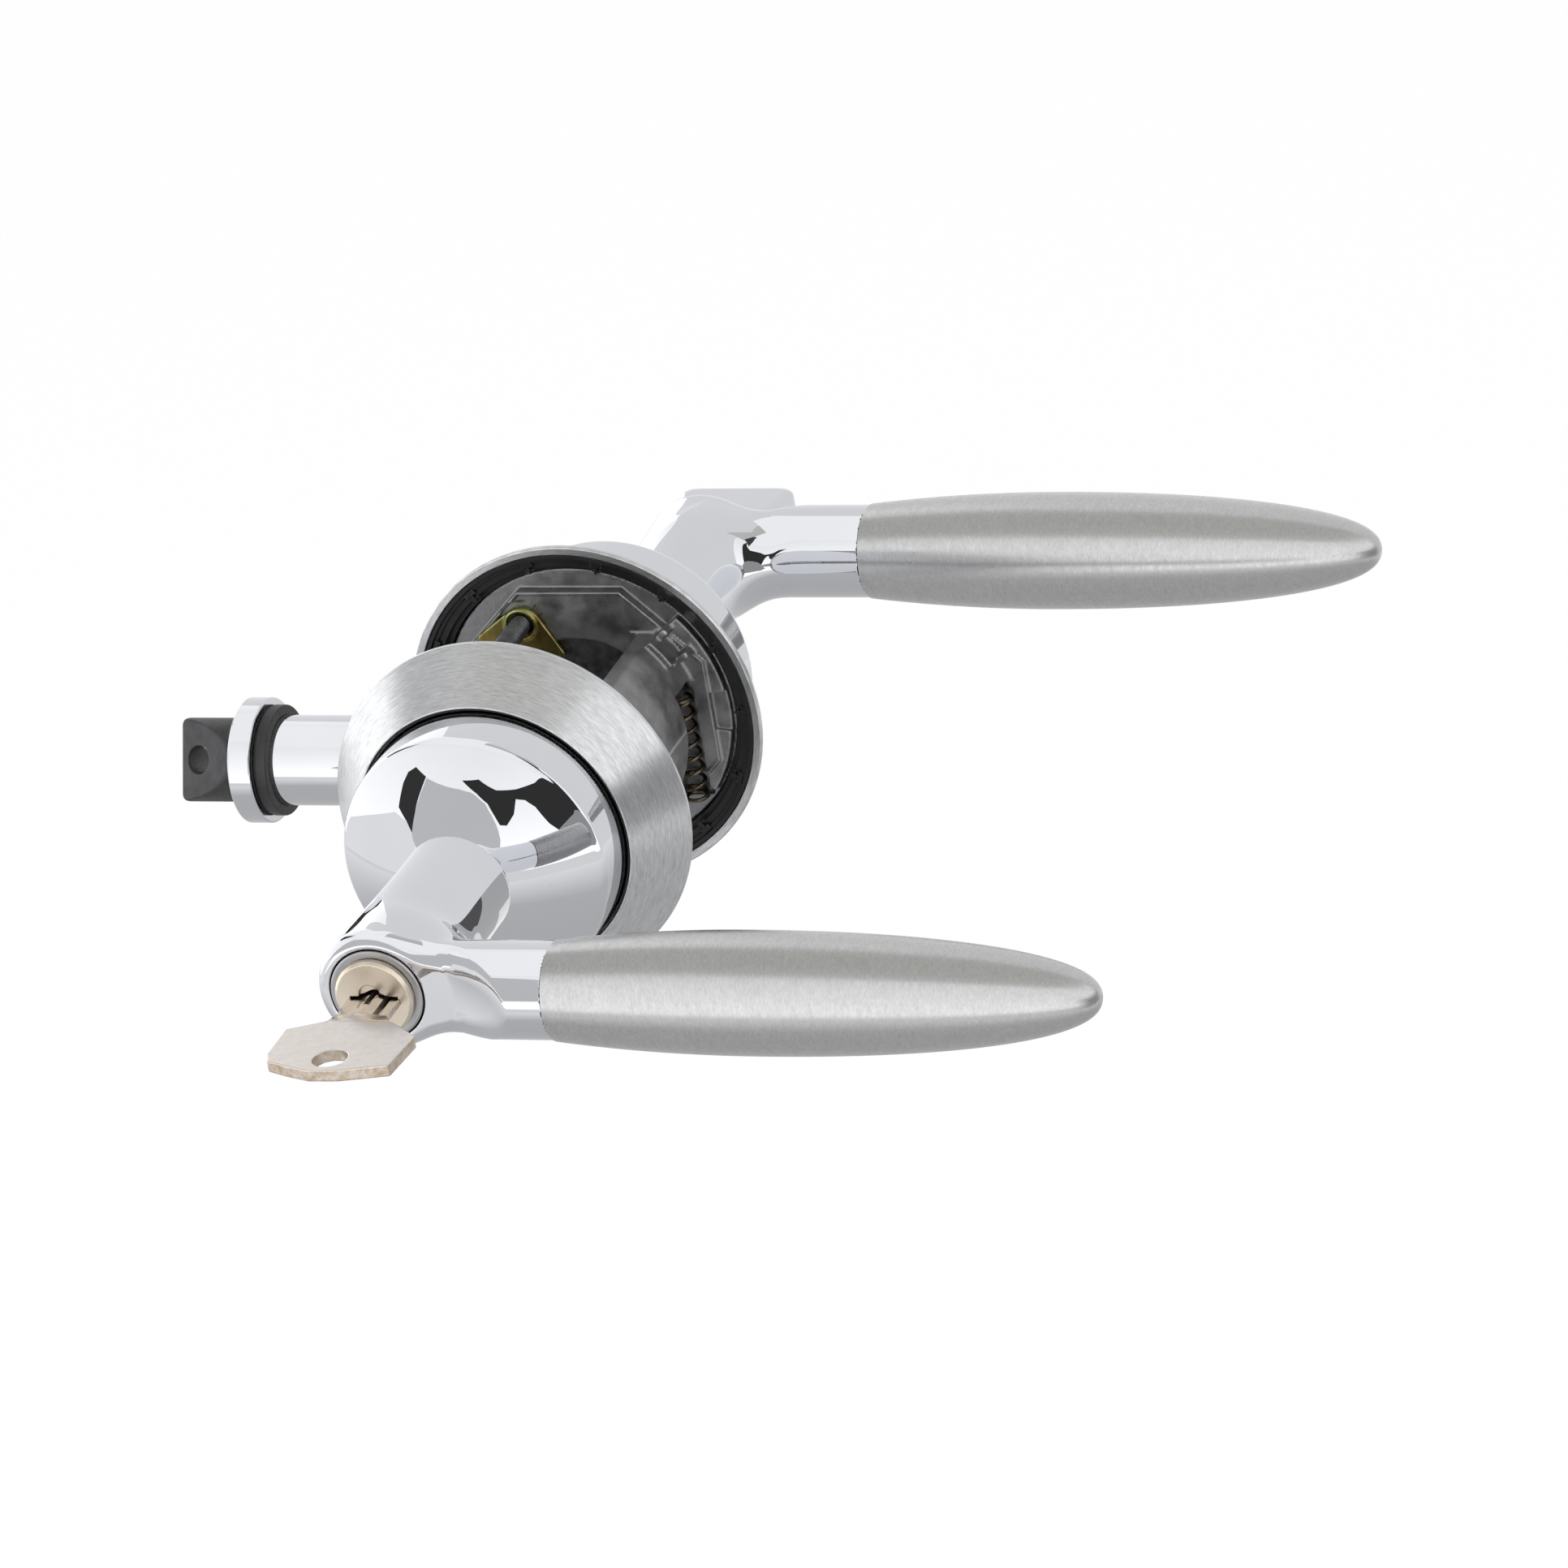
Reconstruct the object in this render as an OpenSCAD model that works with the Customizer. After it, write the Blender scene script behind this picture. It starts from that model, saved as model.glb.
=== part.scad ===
// Door lever set with key cylinder, thumb turn and drive-in latch.
// X runs along the grips (the latch points to -X), Y along the spindle (outside
// at -Y) and Z is up. The origin is where the spindle axis crosses the latch
// axis, halfway through the door.

/* [Door] */
// Door thickness, between the door sides of the two roses
door_t = 37.25; // [36:0.25:42]
// Spindle axis to the outer face of the latch collar
backset = 57.75; // [56:0.25:70]
// Downward turn of the levers, in degrees
lever_swing = 45; // [35:1:45]

/* [Roses] */
// Rose radius at the door
rose_r = 33; // [32.5:0.1:36]
// Rose height off the door
rose_h = 11.1; // [10.6:0.1:13]
// Straight rim at the foot of the rose
rose_rim = 1; // [0.6:0.1:1.4]
// Wall of the rose shell
rose_wall = 1.5; // [1.3:0.1:1.7]
// Width of the lip round the rose opening
rose_lip = 0.3; // [0.2:0.1:0.8]
// Wall of the bush ring in the rose opening
bush_wall = 0.65; // [0.5:0.05:0.9]
// Depth of the bush ring
bush_depth = 2; // [1.8:0.1:2.4]
// Depth of the carrier ring
carrier_depth = 4.2; // [3.6:0.1:4.6]
// Number of clips round the carrier ring
clip_count = 14; // [8:1:18]

/* [Mounting plates] */
// Thickness of the cast plates
plate_t = 4.4; // [4:0.1:4.8]
// Door face to the near side of a plate
plate_inset = 1.4; // [1.2:0.1:1.6]
// Thickness of the round flange of a plate
flange_t = 2.4; // [2:0.1:2.6]
// Gap between the flange and the inside of the rose
flange_gap = 0.45; // [0.3:0.05:0.8]
// Step from the flange to the corners of the octagon
octagon_step = 2.1; // [1.2:0.1:2.6]
// Outer radius of the half shell on the inside plate
shell_r = 21.5; // [21:0.1:22]
// Wall of the half shell
shell_wall = 2.3; // [1.8:0.1:2.4]
// Half height at which the shell is cut off
shell_half = 15.4; // [15:0.1:15.8]
// Reach of the shell past the middle of the door
shell_past = 4; // [2:0.5:4]
// Angle of the first fixing screw
screw_angle = 118.7; // [117:0.1:120]
// Thread radius of the fixing screws
screw_r = 1.95; // [1.8:0.05:2]
// Head radius of the fixing screws
screw_head_r = 3.6; // [3.2:0.1:3.8]
// Radius of the threaded posts
post_r = 3.6; // [3.2:0.1:3.8]

/* [Drivers and spindle] */
// Journal radius of the drivers
journal_r = 14.2; // [13.8:0.1:14.4]
// Radius of the driver spigot in the lever neck
spigot_r = 7.5; // [7.3:0.1:7.8]
// End of the spigot to the cylinder housing
spigot_gap = 6.2; // [5:0.1:9]
// Width of the square spindle
spindle_w = 9; // [8.6:0.1:9.2]
// Radius of the spindle's centre hole
spindle_bore_r = 2.5; // [2.4:0.1:2.8]
// Thickness of the retaining rings
ring_t = 1; // [0.8:0.1:1.2]
// Reach of the driver nose past the journal, to its middle
nose_out = 4.1; // [3.9:0.1:4.3]
// Radius of the driver nose
nose_r = 1.5; // [1.3:0.1:1.6]
// Angle of the driver nose at rest
nose_angle = 14; // [13:0.5:16]
// Outer radius of the return springs
return_spring_r = 2.3; // [2:0.1:2.4]
// Wire diameter of the return springs
return_wire = 0.6; // [0.5:0.05:0.7]
// Coils of a return spring
return_coils = 9; // [7:1:9]

/* [Levers] */
// Dome radius
dome_r = 24.4; // [24:0.1:24.8]
// Straight skirt of the dome above the rose
skirt_h = 7.5; // [6.5:0.1:9]
// Height of the rounded part of the dome
dome_b = 12; // [10.5:0.1:13]
// Wall of the dome
dome_wall = 2; // [1.6:0.1:2.4]
// Neck radius at the dome
neck_r = 9.8; // [9.5:0.1:10.2]
// Neck radius at the boss
boss_r = 11.2; // [10.9:0.1:11.8]
// Rounding of the boss edge
boss_round = 2.2; // [1.8:0.1:2.4]
// Stand-off of the arm axis from the door
arm_stand = 66.9; // [64:0.1:70]
// Boss face beyond the arm axis
boss_past = 1.3; // [0.8:0.1:1.8]
// Width of the groove round the cylinder
boss_groove = 0.7; // [0.4:0.1:0.9]
// Arm radius
arm_r = 8.5; // [8.2:0.1:8.9]
// Bend radius of the elbow
bend_r = 22; // [20:0.5:24]
// Spindle axis to the shoulder of the grip
grip_x = 32.3; // [31:0.1:38]
// Radius of the arm's tenon in the grip
tenon_r = 5; // [4.6:0.1:5.4]
// Length of the tenon
tenon_len = 11.5; // [9:0.5:14]

/* [Grips] */
// Spindle axis to the tip of the grip
grip_tip = 129.5; // [120:0.5:140]
// Largest grip radius
grip_max_r = 10.65; // [10.2:0.05:11.5]
// Where the grip is thickest, from its shoulder
grip_belly = 35.7; // [32:0.1:42]
// Radius of the grip stud
stud_r = 3; // [2.6:0.1:3.4]
// Length of the grip stud
stud_len = 24; // [20:1:30]

/* [Cylinder and thumb turn] */
// Radius of the cylinder housing
housing_r = 8.4; // [8.2:0.1:8.5]
// Length of the cylinder housing
housing_len = 24; // [23:0.1:25]
// Plug radius inside the housing
plug_r = 6.55; // [6.4:0.05:6.7]
// Lip of the plug's head
plug_lip = 0.55; // [0.3:0.05:0.8]
// Housing beyond the boss face
housing_proud = 1.4; // [0.8:0.1:1.8]
// Plug face beyond the housing
plug_proud = 1.6; // [1.4:0.1:2.4]
// Number of wafers
wafer_count = 5; // [3:1:5]
// Tailpiece width
tail_w = 4.2; // [3.8:0.1:4.4]
// Tailpiece thickness
tail_t = 1.2; // [1:0.1:1.4]
// Length of the thumb turn's paddle
turn_len = 15; // [13:0.5:18]
// Half width of the paddle at its outer end
turn_half = 11.4; // [10:0.1:12.5]
// Thickness of the paddle
turn_t = 7.6; // [6:0.1:8.4]

/* [Key] */
// Blade width
blade_w = 8.6; // [8:0.1:8.8]
// Blade thickness
blade_t = 2.3; // [2:0.1:2.4]
// Blade length inside the plug
blade_in = 22; // [16:0.5:22]
// Plug face to the key's bow
blade_out = 7.5; // [5:0.5:12]
// Bow width
bow_w = 25.2; // [22:0.1:30]
// Bow length
bow_len = 20; // [17:0.5:24]
// Sideways offset of the bow
bow_shift = 1.2; // [0:0.1:2]
// Radius of the ring hole
ring_hole_r = 3; // [2.2:0.1:3.2]

/* [Latch] */
// Radius of the latch bolt
bolt_r = 7.55; // [7:0.05:7.6]
// Bolt projection past the collar
bolt_out = 13.1; // [12.5:0.1:14]
// Wall of the latch tube
tube_wall = 0.5; // [0.4:0.05:0.7]
// Collar radius
collar_r = 11.25; // [10.8:0.05:12.5]
// Collar thickness
collar_t = 4.4; // [4:0.1:6]
// Radius of the rubber ring behind the collar
grip_ring_r = 9.95; // [9.6:0.05:10.6]
// Thickness of the rubber ring
grip_ring_t = 2.5; // [2:0.1:3.5]
// Radius of the bolt rod
rod_r = 2.5; // [2.2:0.1:2.8]
// Length of the bolt inside the collar face
bolt_in = 7.75; // [7:0.25:9]
// Radius of the cross hole in the bolt
bolt_hole_r = 2.7; // [2:0.1:2.8]
// Cam arm radius, to the centre of its tip
cam_r = 15.2; // [14.8:0.1:15.3]
// Radius of the cam's tip
cam_tip_r = 1.2; // [1:0.1:1.3]
// Thickness of the latch cam
cam_t = 4; // [3:0.2:4]
// Thickness of each retractor cheek
cheek_t = 1.8; // [1.4:0.1:2]
// Outer radius of the bolt spring
bolt_spring_r = 6; // [5:0.1:6.4]
// Wire diameter of the bolt spring
bolt_wire = 1; // [0.8:0.1:1.1]
// Coils of the bolt spring
bolt_coils = 7; // [5:1:7]

/* [Clearances] */
// Radial clearance of a turning fit
run_fit = 0.05; // [0.03:0.01:0.08]
// Gap between the dome and the bush ring
dome_gap = 0.15; // [0.1:0.05:0.25]
// Gap between parts that pass each other
pass_gap = 0.4; // [0.3:0.05:0.5]
// End play of turning parts
end_play = 0.1; // [0.05:0.05:0.15]

/* [Hidden] */
$fn = 96;
cut = 1;                                     // overshoot of a cutting solid
weld = 0.5;                                  // overlap of joined solids
face = door_t / 2;                           // door face, from mid door

// Rose and what it holds
bush_in_r = dome_r + dome_gap;
rose_bore_r = bush_in_r + bush_wall;
lip_r = rose_bore_r + rose_lip;
rose_top = face + rose_h;
rose_slope = (rose_r - lip_r) / (rose_h - rose_rim); // fall of radius with height
rose_in_r = rose_r - rose_wall;
bore_z = face + rose_rim + (rose_in_r - rose_bore_r) / rose_slope;  // inner cone meets the bore
bush_sunk = 0.4;
clip_inset = 1.5;
clip_r = rose_in_r - clip_inset;             // step that the clips stand on
step_w = 1.4;
ledge_h = 1.2;
ring_sunk = 0.2;
clip_t = 0.5;
clip_stem_w = 0.6;
clip_head_w = 2.2;
clip_head_len = 0.8;

// Plates
plate_z = face + plate_inset;
plate_top = plate_z + plate_t;
flange_z = plate_top - flange_t;
flange_r = rose_in_r - rose_slope * (plate_top - face - rose_rim) - flange_gap;
octagon_r = flange_r - octagon_step;
corners = 8;
shell_in_r = shell_r - shell_wall;
lug_t = 1;
lug_r = 3.7;                                 // round end of a lug plate
lug_in = 0.4;                                // its centre, inwards from the screw
lug_foot = 9.4;
lug_side = 8.2;
lug_corner_r = 1.1;
lug_ring_w = 0.9;
lug_ring_h = 0.4;
post_gap = 0.5;
post_end = shell_past + post_gap;            // posts stop short of the shell
head_t = 2.6;
head_slot = 1;
screw_gap = 0.15;
clip_ring_w = 1.7;                           // circlip beyond the journal
head_gap = 0.5;
screw_circle_r = journal_r + clip_ring_w + head_gap + screw_head_r;
saddle_len = 3.6;
saddle_w = 8;
saddle_lap = 1.5;

// Drivers and return springs
driver_in = plate_z + pass_gap;
collar_h = 2.2;                              // journal beyond the plate
journal_end = plate_top + collar_h;
socket_w = spindle_w + 2 * run_fit;
groove_depth = 0.8;
clip_gap = 3;
nose_circle_r = journal_r + nose_out;
nose_y = nose_circle_r * sin(nose_angle);
pocket_gap = 0.3;
pocket_depth = return_spring_r + pocket_gap;
pocket_slack = 13;                           // degrees past each end of the nose's travel
nose_end = plate_z + pocket_depth - pass_gap;
spring_in = 0.4;
spring_x = nose_circle_r - spring_in;        // axis of the return spring
spring_z = plate_z + end_play;
spring_len = 20.33;
spring_high = nose_y - nose_r;
spring_low = spring_high - spring_len;
spring_gap = 0.2;
touch = 0.05;                                // spring end to its seat
seat_w = 1;
seat_len = 6;
window_t = 7.5;                              // window in the shell beside the spring

// Levers
dome_lift = 0.8;                             // dome above the screw heads
dome_z = plate_top + head_t + dome_lift;
skirt_z = rose_top + skirt_h;
neck_turn = acos(neck_r / dome_r);           // where the neck meets the dome
neck_z = skirt_z + dome_b * sin(neck_turn);
arm_z = face + arm_stand;
boss_z = arm_z + boss_past;
housing_end = boss_z + housing_proud;
housing_z = housing_end - housing_len;
spigot_end = housing_z - spigot_gap;
spindle_in = 2;                              // spindle short of the spigot's end
groove_deep = 1.6;
clip_room = 4;
scoop_in = 4;
scoop_r = grip_x - scoop_in;                 // the scoop fades out on the arm
set_screw_z = (neck_z + spigot_end) / 2;
set_screw_r = 2;
screw_bite = 0.6;
hex_r = 1;
hex_depth = 1.2;
dome_plate_up = 0.6;
dome_plate_z = dome_z + dome_plate_up;
dome_plate_t = 2;
grip_step = 0.1;                             // grip over the arm at its shoulder

// Cylinder, plug, key and thumb turn
plug_head_r = plug_r + plug_lip;
head_z = housing_end + end_play;
plug_z = head_z + plug_proud - end_play;
clip_z = housing_z - end_play - ring_t;
back_clip_r = (plug_r + housing_r) / 2;
clip_bite = 0.6;
clip_slit = 2;
tail_r = 3.9;                                // stub at the back of the plug
stub = 1;
tail_back = clip_z - stub;
tail_in = 4;
slot_depth = 2.2;
tail_gap = 0.2;
chamfer_h = 0.8;
chamfer_w = 0.6;
key_gap = 0.15;                              // blade to keyway
ward_w = 1.4;
ward_x = blade_w * 0.2;
tip_cut = 3.2;
tip_w = 0.6;
hole_shift = 0.3;
bow_z = plug_z + blade_out;
wafer_w = plug_r * 1.71;
wafer_h = plug_r * 0.916;
wafer_t = 1;
wafer_gap = 0.1;
window_gap = 0.3;
wafer_pitch = 3.4;
wafer_z = head_z - 2.5;                      // outer face of the first wafer
turn_up = 1;
turn_z = head_z + turn_up;
turn_foot = plug_head_r + chamfer_w;
turn_lip = 0.4;
turn_base = 1.5;
turn_end = turn_z + turn_base + turn_len;
turn_round = 2.4;

// Latch, measured from the spindle axis towards the door edge
tube_r = bolt_r + run_fit + tube_wall;
tube_sunk = 1.35;
tube_out = backset - tube_sunk;
collar_in = backset - collar_t;
prong_gap = 2.3;
prong_in = journal_r + prong_gap;            // inner end of the tube's prongs
prong_half = 5;
bolt_back = backset - bolt_in;
rod_in = 4;
tip_half = 3;                                // bolt tip beyond its middle
hole_in = 4.6;
throw = 2 * cam_r * sin(lever_swing / 2);
hub_wall = 1;
hub_r = spindle_w * 0.5 * sqrt(2) + hub_wall;
base_in = hub_r + throw + pass_gap + hub_wall;  // retractor base, inner side
base_t = 2.7;
cap_gap = 4;
cap_in = base_in + base_t + cap_gap;
cap_t = 3;
cheek_in = cam_t / 2 + pass_gap;
cheek_h = 4.7;
arm_top = screw_circle_r * sin(screw_angle) - screw_r - pass_gap;
catch_w = 1.8;                               // catch that the cam pushes
catch_lap = 1.6;
catch_top = cam_r + cam_tip_r - spring_gap;
catch_low = arm_top - catch_lap;
catch_gap = 0.3;
catch_x = cam_tip_r / cos(lever_swing / 2) - catch_low * tan(lever_swing / 2) + catch_gap;

// Steps of curved outlines
dome_steps = 12;
belly_steps = 8;
tip_steps = 16;
round_steps = 5;
sweep_steps = 16;

// ---------------------------------------------------------------- frames

// Outside half: x along the lever, y up, z away from the middle of the door
module outside() { rotate([90, 0, 0]) children(); }

// Inside half, the mirror image
module inside() { mirror([0, 1, 0]) rotate([90, 0, 0]) children(); }

// Latch: z runs from the spindle axis towards the door edge, x is up
module latch() { rotate([0, -90, 0]) children(); }

module disc(r, z0, z1) { translate([0, 0, z0]) cylinder(r = r, h = z1 - z0); }

module ring(r, bore, z0, z1) {
    difference() {
        disc(r, z0, z1);
        disc(bore, z0 - cut, z1 + cut);
    }
}

module bar(w, t, z0, z1) {
    translate([-w / 2, -t / 2, z0]) cube([w, t, z1 - z0]);
}

// Points of a circular arc from angle a0 to a1
function arc(cx, cy, r, a0, a1, steps) =
    [for (i = [0 : steps]) let (a = a0 + (a1 - a0) * i / steps) [cx + r * cos(a), cy + r * sin(a)]];

// ---------------------------------------------------------------- roses

// Turned cone shell with a rolled lip
module rose() {
    rotate_extrude() polygon([
        [rose_r, face], [rose_r, face + rose_rim], [lip_r, rose_top], [rose_bore_r, rose_top],
        [rose_bore_r, bore_z], [rose_in_r, face + rose_rim], [rose_in_r, face]]);
}

module outside_rose() { color([0.78, 0.79, 0.80]) outside() rose(); }
module inside_rose() { color([0.78, 0.79, 0.80]) inside() rose(); }

// Plastic ring that the dome turns in, with a foot that the rose's bore holds
module bush_ring() {
    high = rose_top - bush_sunk;
    low = high - bush_depth;
    rotate_extrude() polygon([
        [bush_in_r, low], [bush_in_r, high], [rose_bore_r, high],
        [rose_bore_r, bore_z], [rose_bore_r + rose_slope * (bore_z - low), low]]);
}

module outside_bush_ring() { color([0.06, 0.06, 0.07]) outside() bush_ring(); }
module inside_bush_ring() { color([0.06, 0.06, 0.07]) inside() bush_ring(); }

// Stepped plastic ring that joins the rose to its plate
module carrier_ring() {
    ledge_z = plate_z + ledge_h;
    end_z = face + carrier_depth;
    rotate_extrude() polygon([
        [rose_in_r, face + ring_sunk], [rose_in_r, face + rose_rim],
        [rose_in_r - rose_slope * (carrier_depth - rose_rim), end_z],
        [flange_r, end_z], [flange_r, ledge_z], [clip_r - step_w, ledge_z],
        [clip_r - step_w, plate_z], [clip_r, plate_z], [clip_r, face + ring_sunk]]);
    for (i = [0 : clip_count - 1]) rotate(i * 360 / clip_count) {
        translate([clip_r - step_w, -clip_stem_w / 2, face + clip_t])
            cube([step_w + weld, clip_stem_w, plate_inset]);
        translate([clip_r - clip_head_len, -clip_head_w / 2, face + clip_t])
            cube([clip_head_len + weld, clip_head_w, clip_t]);
    }
}

module outside_carrier_ring() { color([0.07, 0.07, 0.08]) outside() carrier_ring(); }
module inside_carrier_ring() { color([0.07, 0.07, 0.08]) inside() carrier_ring(); }

// ---------------------------------------------------------------- plates

// Places its children at both fixing screws, with y away from the spindle
module at_screws() {
    rotate(screw_angle - 90) translate([0, screw_circle_r, 0]) children();
    rotate(screw_angle + 90) mirror([1, 0, 0]) translate([0, screw_circle_r, 0]) children();
}

// Recess in which the driver nose and the return spring work
module spring_pocket() {
    sweep_r = nose_circle_r + nose_r + 2 * pocket_gap;
    translate([0, 0, plate_z - cut]) {
        linear_extrude(pocket_depth + cut) polygon(concat([[0, 0]], arc(0, 0, sweep_r,
            nose_angle - lever_swing - pocket_slack, nose_angle + pocket_slack, sweep_steps)));
        translate([spring_x - return_spring_r - spring_gap, spring_low, 0])
            cube([2 * (return_spring_r + spring_gap), nose_y - spring_low, pocket_depth + spring_gap + cut]);
    }
}

// Saddle that grips one prong of the latch tube
module saddle() {
    low = tube_r - saddle_lap;
    difference() {
        translate([-prong_in - saddle_len, -saddle_w / 2, low])
            cube([saddle_len, saddle_w, plate_z + weld - low]);
        latch() disc(tube_r, 0, backset);
    }
}

module plate() {
    corner = 180 / corners;
    difference() {
        union() {
            translate([0, 0, plate_z]) linear_extrude(plate_t - flange_t + weld)
                polygon(arc(0, 0, octagon_r, corner, 360 - corner, corners - 1));
            disc(flange_r, flange_z, plate_top);
            intersection() {
                translate([spring_x - return_spring_r - seat_w, spring_low - seat_w, plate_z])
                    cube([2 * (return_spring_r + seat_w), seat_len, plate_t]);
                disc(flange_r - spring_gap, plate_z, flange_z + weld);
            }
            saddle();
        }
        disc(journal_r + run_fit, plate_z - cut, plate_top + cut);
        spring_pocket();
    }
}

// The outside plate carries the threaded posts
module outside_plate() {
    color([0.45, 0.46, 0.47]) outside() difference() {
        union() {
            plate();
            at_screws() disc(post_r, post_end, plate_z + weld);
        }
        at_screws() disc(screw_r, post_end - cut, plate_top + cut);
    }
}

// Half shell that guards the retractor, with a window for the return spring
module half_shell() {
    depth = plate_z + shell_past;
    difference() {
        ring(shell_r, shell_in_r, -shell_past, plate_z + weld);
        translate([-shell_r - cut, -shell_r - cut, -shell_past - cut])
            cube([shell_r + cut, 2 * (shell_r + cut), depth + 3 * cut]);
        for (side = [-1, 1])
            translate([-cut, side > 0 ? shell_half : -shell_half - shell_r, -shell_past - cut])
                cube([shell_r + 2 * cut, shell_r, depth + 3 * cut]);
        translate([spring_x - return_spring_r - pass_gap, spring_low - cut, plate_z - window_t])
            cube([shell_r, nose_y + nose_r + pass_gap - spring_low + cut, window_t + cut]);
        at_screws() disc(lug_r + pass_gap, -shell_past - cut, plate_z + cut);
    }
}

module inside_plate() {
    color([0.45, 0.46, 0.47]) inside() difference() {
        union() {
            plate();
            half_shell();
        }
        at_screws() disc(screw_r + screw_gap, plate_z - cut, plate_top + cut);
    }
}

// Three-cornered lug plates with a raised ring, one under each screw
module lug_plates() {
    low = plate_z - lug_t;
    color([0.66, 0.58, 0.28]) inside() at_screws() difference() {
        union() {
            translate([0, 0, low]) linear_extrude(lug_t) polygon(concat(
                [[lug_r, -lug_foot]],
                arc(-lug_side, lug_corner_r, lug_corner_r, 235, 100, round_steps),
                arc(0, -lug_in, lug_r, 115, 0, 8)));
            disc(screw_r + lug_ring_w, low - lug_ring_h, plate_z - lug_t / 2);
        }
        disc(screw_r + screw_gap, face - cut, plate_z + cut);
    }
}

// Two machine screws from the inside plate into the posts
module fixing_screws() {
    color([0.20, 0.20, 0.21]) inside() at_screws() difference() {
        union() {
            disc(screw_r, -face, plate_top);
            disc(screw_head_r, plate_top, plate_top + head_t);
        }
        bar(head_slot, 2 * (screw_head_r + cut), plate_top + head_t - head_slot, plate_top + head_t + cut);
    }
}

// ---------------------------------------------------------------- springs

coil_sides = 6;
coil_turn_steps = 14;

// Round wire wound round z, from z0 to z1
module coil(r, wire, z0, z1, coils) {
    mid_r = r - wire / 2;
    rings = coils * coil_turn_steps;
    pitch = (z1 - z0 - wire) / coils;
    points = [for (i = [0 : rings], k = [0 : coil_sides - 1])
        let (a = i * 360 / coil_turn_steps, b = k * 360 / coil_sides,
             rr = mid_r + wire / 2 * cos(b))
        [rr * cos(a), rr * sin(a),
         z0 + wire / 2 + pitch * i / coil_turn_steps + wire / 2 * sin(b)]];
    sides = [for (i = [0 : rings - 1], k = [0 : coil_sides - 1])
        let (n = (k + 1) % coil_sides)
        [i * coil_sides + k, i * coil_sides + n, (i + 1) * coil_sides + n, (i + 1) * coil_sides + k]];
    near = [[for (k = [coil_sides - 1 : -1 : 0]) k]];
    far = [[for (k = [0 : coil_sides - 1]) rings * coil_sides + k]];
    polyhedron(points, concat(near, far, sides));
}

module return_spring() {
    translate([spring_x, 0, spring_z]) rotate([-90, 0, 0])
        coil(return_spring_r, return_wire, spring_low + touch, spring_high - touch, return_coils);
}

module outside_return_spring() { color([0.35, 0.28, 0.20]) outside() return_spring(); }
module inside_return_spring() { color([0.35, 0.28, 0.20]) inside() return_spring(); }

module bolt_spring() {
    color([0.60, 0.60, 0.62]) latch()
        coil(bolt_spring_r, bolt_wire, cap_in + cap_t + touch, bolt_back - touch, bolt_coils);
}

// ---------------------------------------------------------------- drivers

// Turned driver: journal in the plate, nose on the return spring, spigot in the neck
module driver() {
    difference() {
        union() {
            disc(journal_r, driver_in, journal_end);
            disc(spigot_r, journal_end, spigot_end);
            rotate(nose_angle) {
                translate([journal_r - weld, -nose_r, driver_in])
                    cube([nose_out + weld, 2 * nose_r, nose_end - driver_in]);
                translate([nose_circle_r, 0, 0]) disc(nose_r, face, nose_end);
            }
        }
        bar(socket_w, socket_w, driver_in - cut, spigot_end + cut);
        ring(journal_r + cut, journal_r - groove_depth, plate_top + end_play, plate_top + end_play + ring_t);
        translate([0, 0, set_screw_z]) rotate([90, 0, 0])
            disc(set_screw_r, spigot_r - screw_bite, spigot_r + cut);
    }
}

module outside_driver() { color([0.55, 0.55, 0.57]) outside() driver(); }
module inside_driver() { color([0.55, 0.55, 0.57]) inside() driver(); }

// Open retaining ring in the driver's groove
module circlip() {
    z = plate_top + end_play;
    difference() {
        ring(journal_r + clip_ring_w, journal_r - groove_depth, z, z + ring_t);
        translate([0, journal_r, 0]) bar(clip_gap, 2 * clip_gap, z - cut, z + ring_t + cut);
    }
}

module outside_circlip() { color([0.30, 0.30, 0.32]) outside() circlip(); }
module inside_circlip() { color([0.30, 0.30, 0.32]) inside() circlip(); }

// Hollow square spindle through the latch cam
module spindle() {
    color([0.62, 0.62, 0.64]) outside() difference() {
        bar(spindle_w, spindle_w, -spigot_end + spindle_in, spigot_end - spindle_in);
        disc(spindle_bore_r, -spigot_end, spigot_end);
    }
}

// Cam that pulls the retractor back
module latch_cam() {
    color([0.50, 0.50, 0.52]) outside() difference() {
        union() {
            disc(hub_r, -cam_t / 2, cam_t / 2);
            rotate(90 + lever_swing / 2) {
                translate([0, -cam_tip_r, -cam_t / 2]) cube([cam_r, 2 * cam_tip_r, cam_t]);
                translate([cam_r, 0, 0]) disc(cam_tip_r, -cam_t / 2, cam_t / 2);
            }
        }
        bar(spindle_w, spindle_w, -cam_t, cam_t);
    }
}

// ---------------------------------------------------------------- levers

// Half outline of the dome, neck and boss
function lever_outline() = concat(
    [[0, dome_z], [dome_r, dome_z]],
    [for (i = [0 : dome_steps]) let (a = neck_turn * i / dome_steps)
        [dome_r * cos(a), skirt_z + dome_b * sin(a)]],
    arc(boss_r - boss_round, boss_z - boss_round, boss_round, 0, 90, round_steps),
    [[0, boss_z]]);

// Half outline of the hollow under the dome
function dome_hollow() =
    let (r = dome_r - dome_wall, b = dome_b - dome_wall, end = acos(spigot_r / r))
    concat([[0, dome_z - cut], [r, dome_z - cut]],
        [for (i = [0 : dome_steps]) let (a = end * i / dome_steps)
            [r * cos(a), skirt_z + b * sin(a)]],
        [[0, skirt_z + b * sin(end)]]);

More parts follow.
